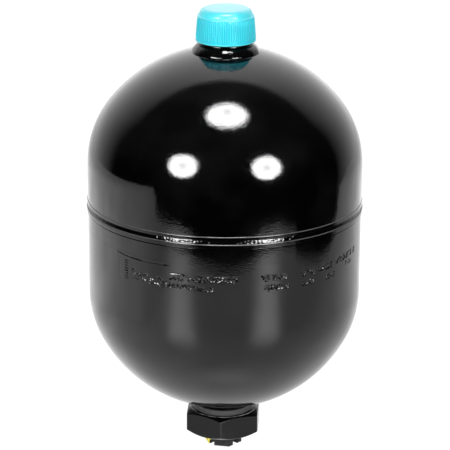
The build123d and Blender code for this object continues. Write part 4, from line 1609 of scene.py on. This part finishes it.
def make_camera():
    """Camera at the photograph's place, about 17 degrees above the horizon."""
    data = bpy.data.cameras.new("camera")
    data.lens = 180.7
    data.sensor_width = 36.0
    camera = bpy.data.objects.new("camera", data)
    camera.location = (0.0, -1.3709, 0.5823)
    aim = Vector((0.0003, 0.0, 0.1389)) - camera.location
    turn = aim.to_track_quat("-Z", "Y").to_matrix().to_4x4()
    roll = Euler((0.0, 0.0, math.radians(0.38))).to_matrix().to_4x4()
    camera.rotation_euler = (turn @ roll).to_euler()
    bpy.context.scene.collection.objects.link(camera)
    bpy.context.scene.camera = camera


class ACCUMULATOR_OT_stage(bpy.types.Operator):
    """Build the floor, the lamps, the world and the camera"""

    bl_idname = "accumulator.stage"
    bl_label = "Stage"

    def execute(self, context):
        stage = sizes(context, "stage")
        mesh = bpy.data.meshes.new("floor")
        corners = [(x * stage.floor_reach, y * stage.floor_reach) for x, y in FLOOR_CORNERS]
        mesh.from_pydata([(x, y, FLOOR_LEVEL) for x, y in corners], [], [list(range(len(corners)))])
        mesh.materials.append(floor_material())
        floor = bpy.data.objects.new("floor", mesh)
        bpy.context.scene.collection.objects.link(floor)
        side_glow = glow_material("side_diffuser", 26.0, 15.0)
        top_glow = glow_material("top_diffuser", 26.0, 12.0, (0.0, 0.3, 0.0))
        size = stage.lamp_size
        make_lamp("left_lamp", -35.7, 18.9, stage.lamp_distance, size, size, 17.0, side_glow)
        make_lamp("right_lamp", 35.1, 17.7, stage.lamp_distance, size, size, 17.0, side_glow)
        make_lamp(
            "top_lamp", 4.5, 74.7, stage.top_distance, stage.top_width, stage.top_depth, 2.5, top_glow
        )
        make_world()
        make_camera()
        context.scene.view_settings.view_transform = "Standard"
        return {"FINISHED"}


PIECES = (
    ACCUMULATOR_OT_upper_shell,
    ACCUMULATOR_OT_lower_shell,
    ACCUMULATOR_OT_welds,
    ACCUMULATOR_OT_gas_boss,
    ACCUMULATOR_OT_inner_parts,
    ACCUMULATOR_OT_protective_cap,
    ACCUMULATOR_OT_port_fitting,
    ACCUMULATOR_OT_port_plug,
    ACCUMULATOR_OT_diaphragm,
    ACCUMULATOR_OT_stage,
)


class ACCUMULATOR_PT_panel(bpy.types.Panel):
    """Lists the pieces and their sizes in the sidebar"""

    bl_idname = "ACCUMULATOR_PT_panel"
    bl_label = "Accumulator"
    bl_space_type = "VIEW_3D"
    bl_region_type = "UI"
    bl_category = "Accumulator"

    def draw(self, context):
        for operator in PIECES:
            self.layout.operator(operator.bl_idname)
        for group in GROUPS:
            box = self.layout.box()
            box.label(text=group.capitalize())
            held = sizes(context, group)
            for key in GROUPS[group].__annotations__:
                box.prop(held, key)


def register():
    """Adds the property groups, operators and panel."""
    for group, kind in GROUPS.items():
        bpy.utils.register_class(kind)
        setattr(bpy.types.Scene, f"accumulator_{group}", PointerProperty(type=kind))
    for kind in (*PIECES, ACCUMULATOR_PT_panel):
        bpy.utils.register_class(kind)


def unregister():
    """Takes them out again."""
    for kind in (ACCUMULATOR_PT_panel, *reversed(PIECES)):
        bpy.utils.unregister_class(kind)
    for group, kind in reversed(GROUPS.items()):
        delattr(bpy.types.Scene, f"accumulator_{group}")
        bpy.utils.unregister_class(kind)


def main():
    register()
    for operator in PIECES:
        group, name = operator.bl_idname.split(".")
        getattr(getattr(bpy.ops, group), name)()


if __name__ == "__main__":
    main()
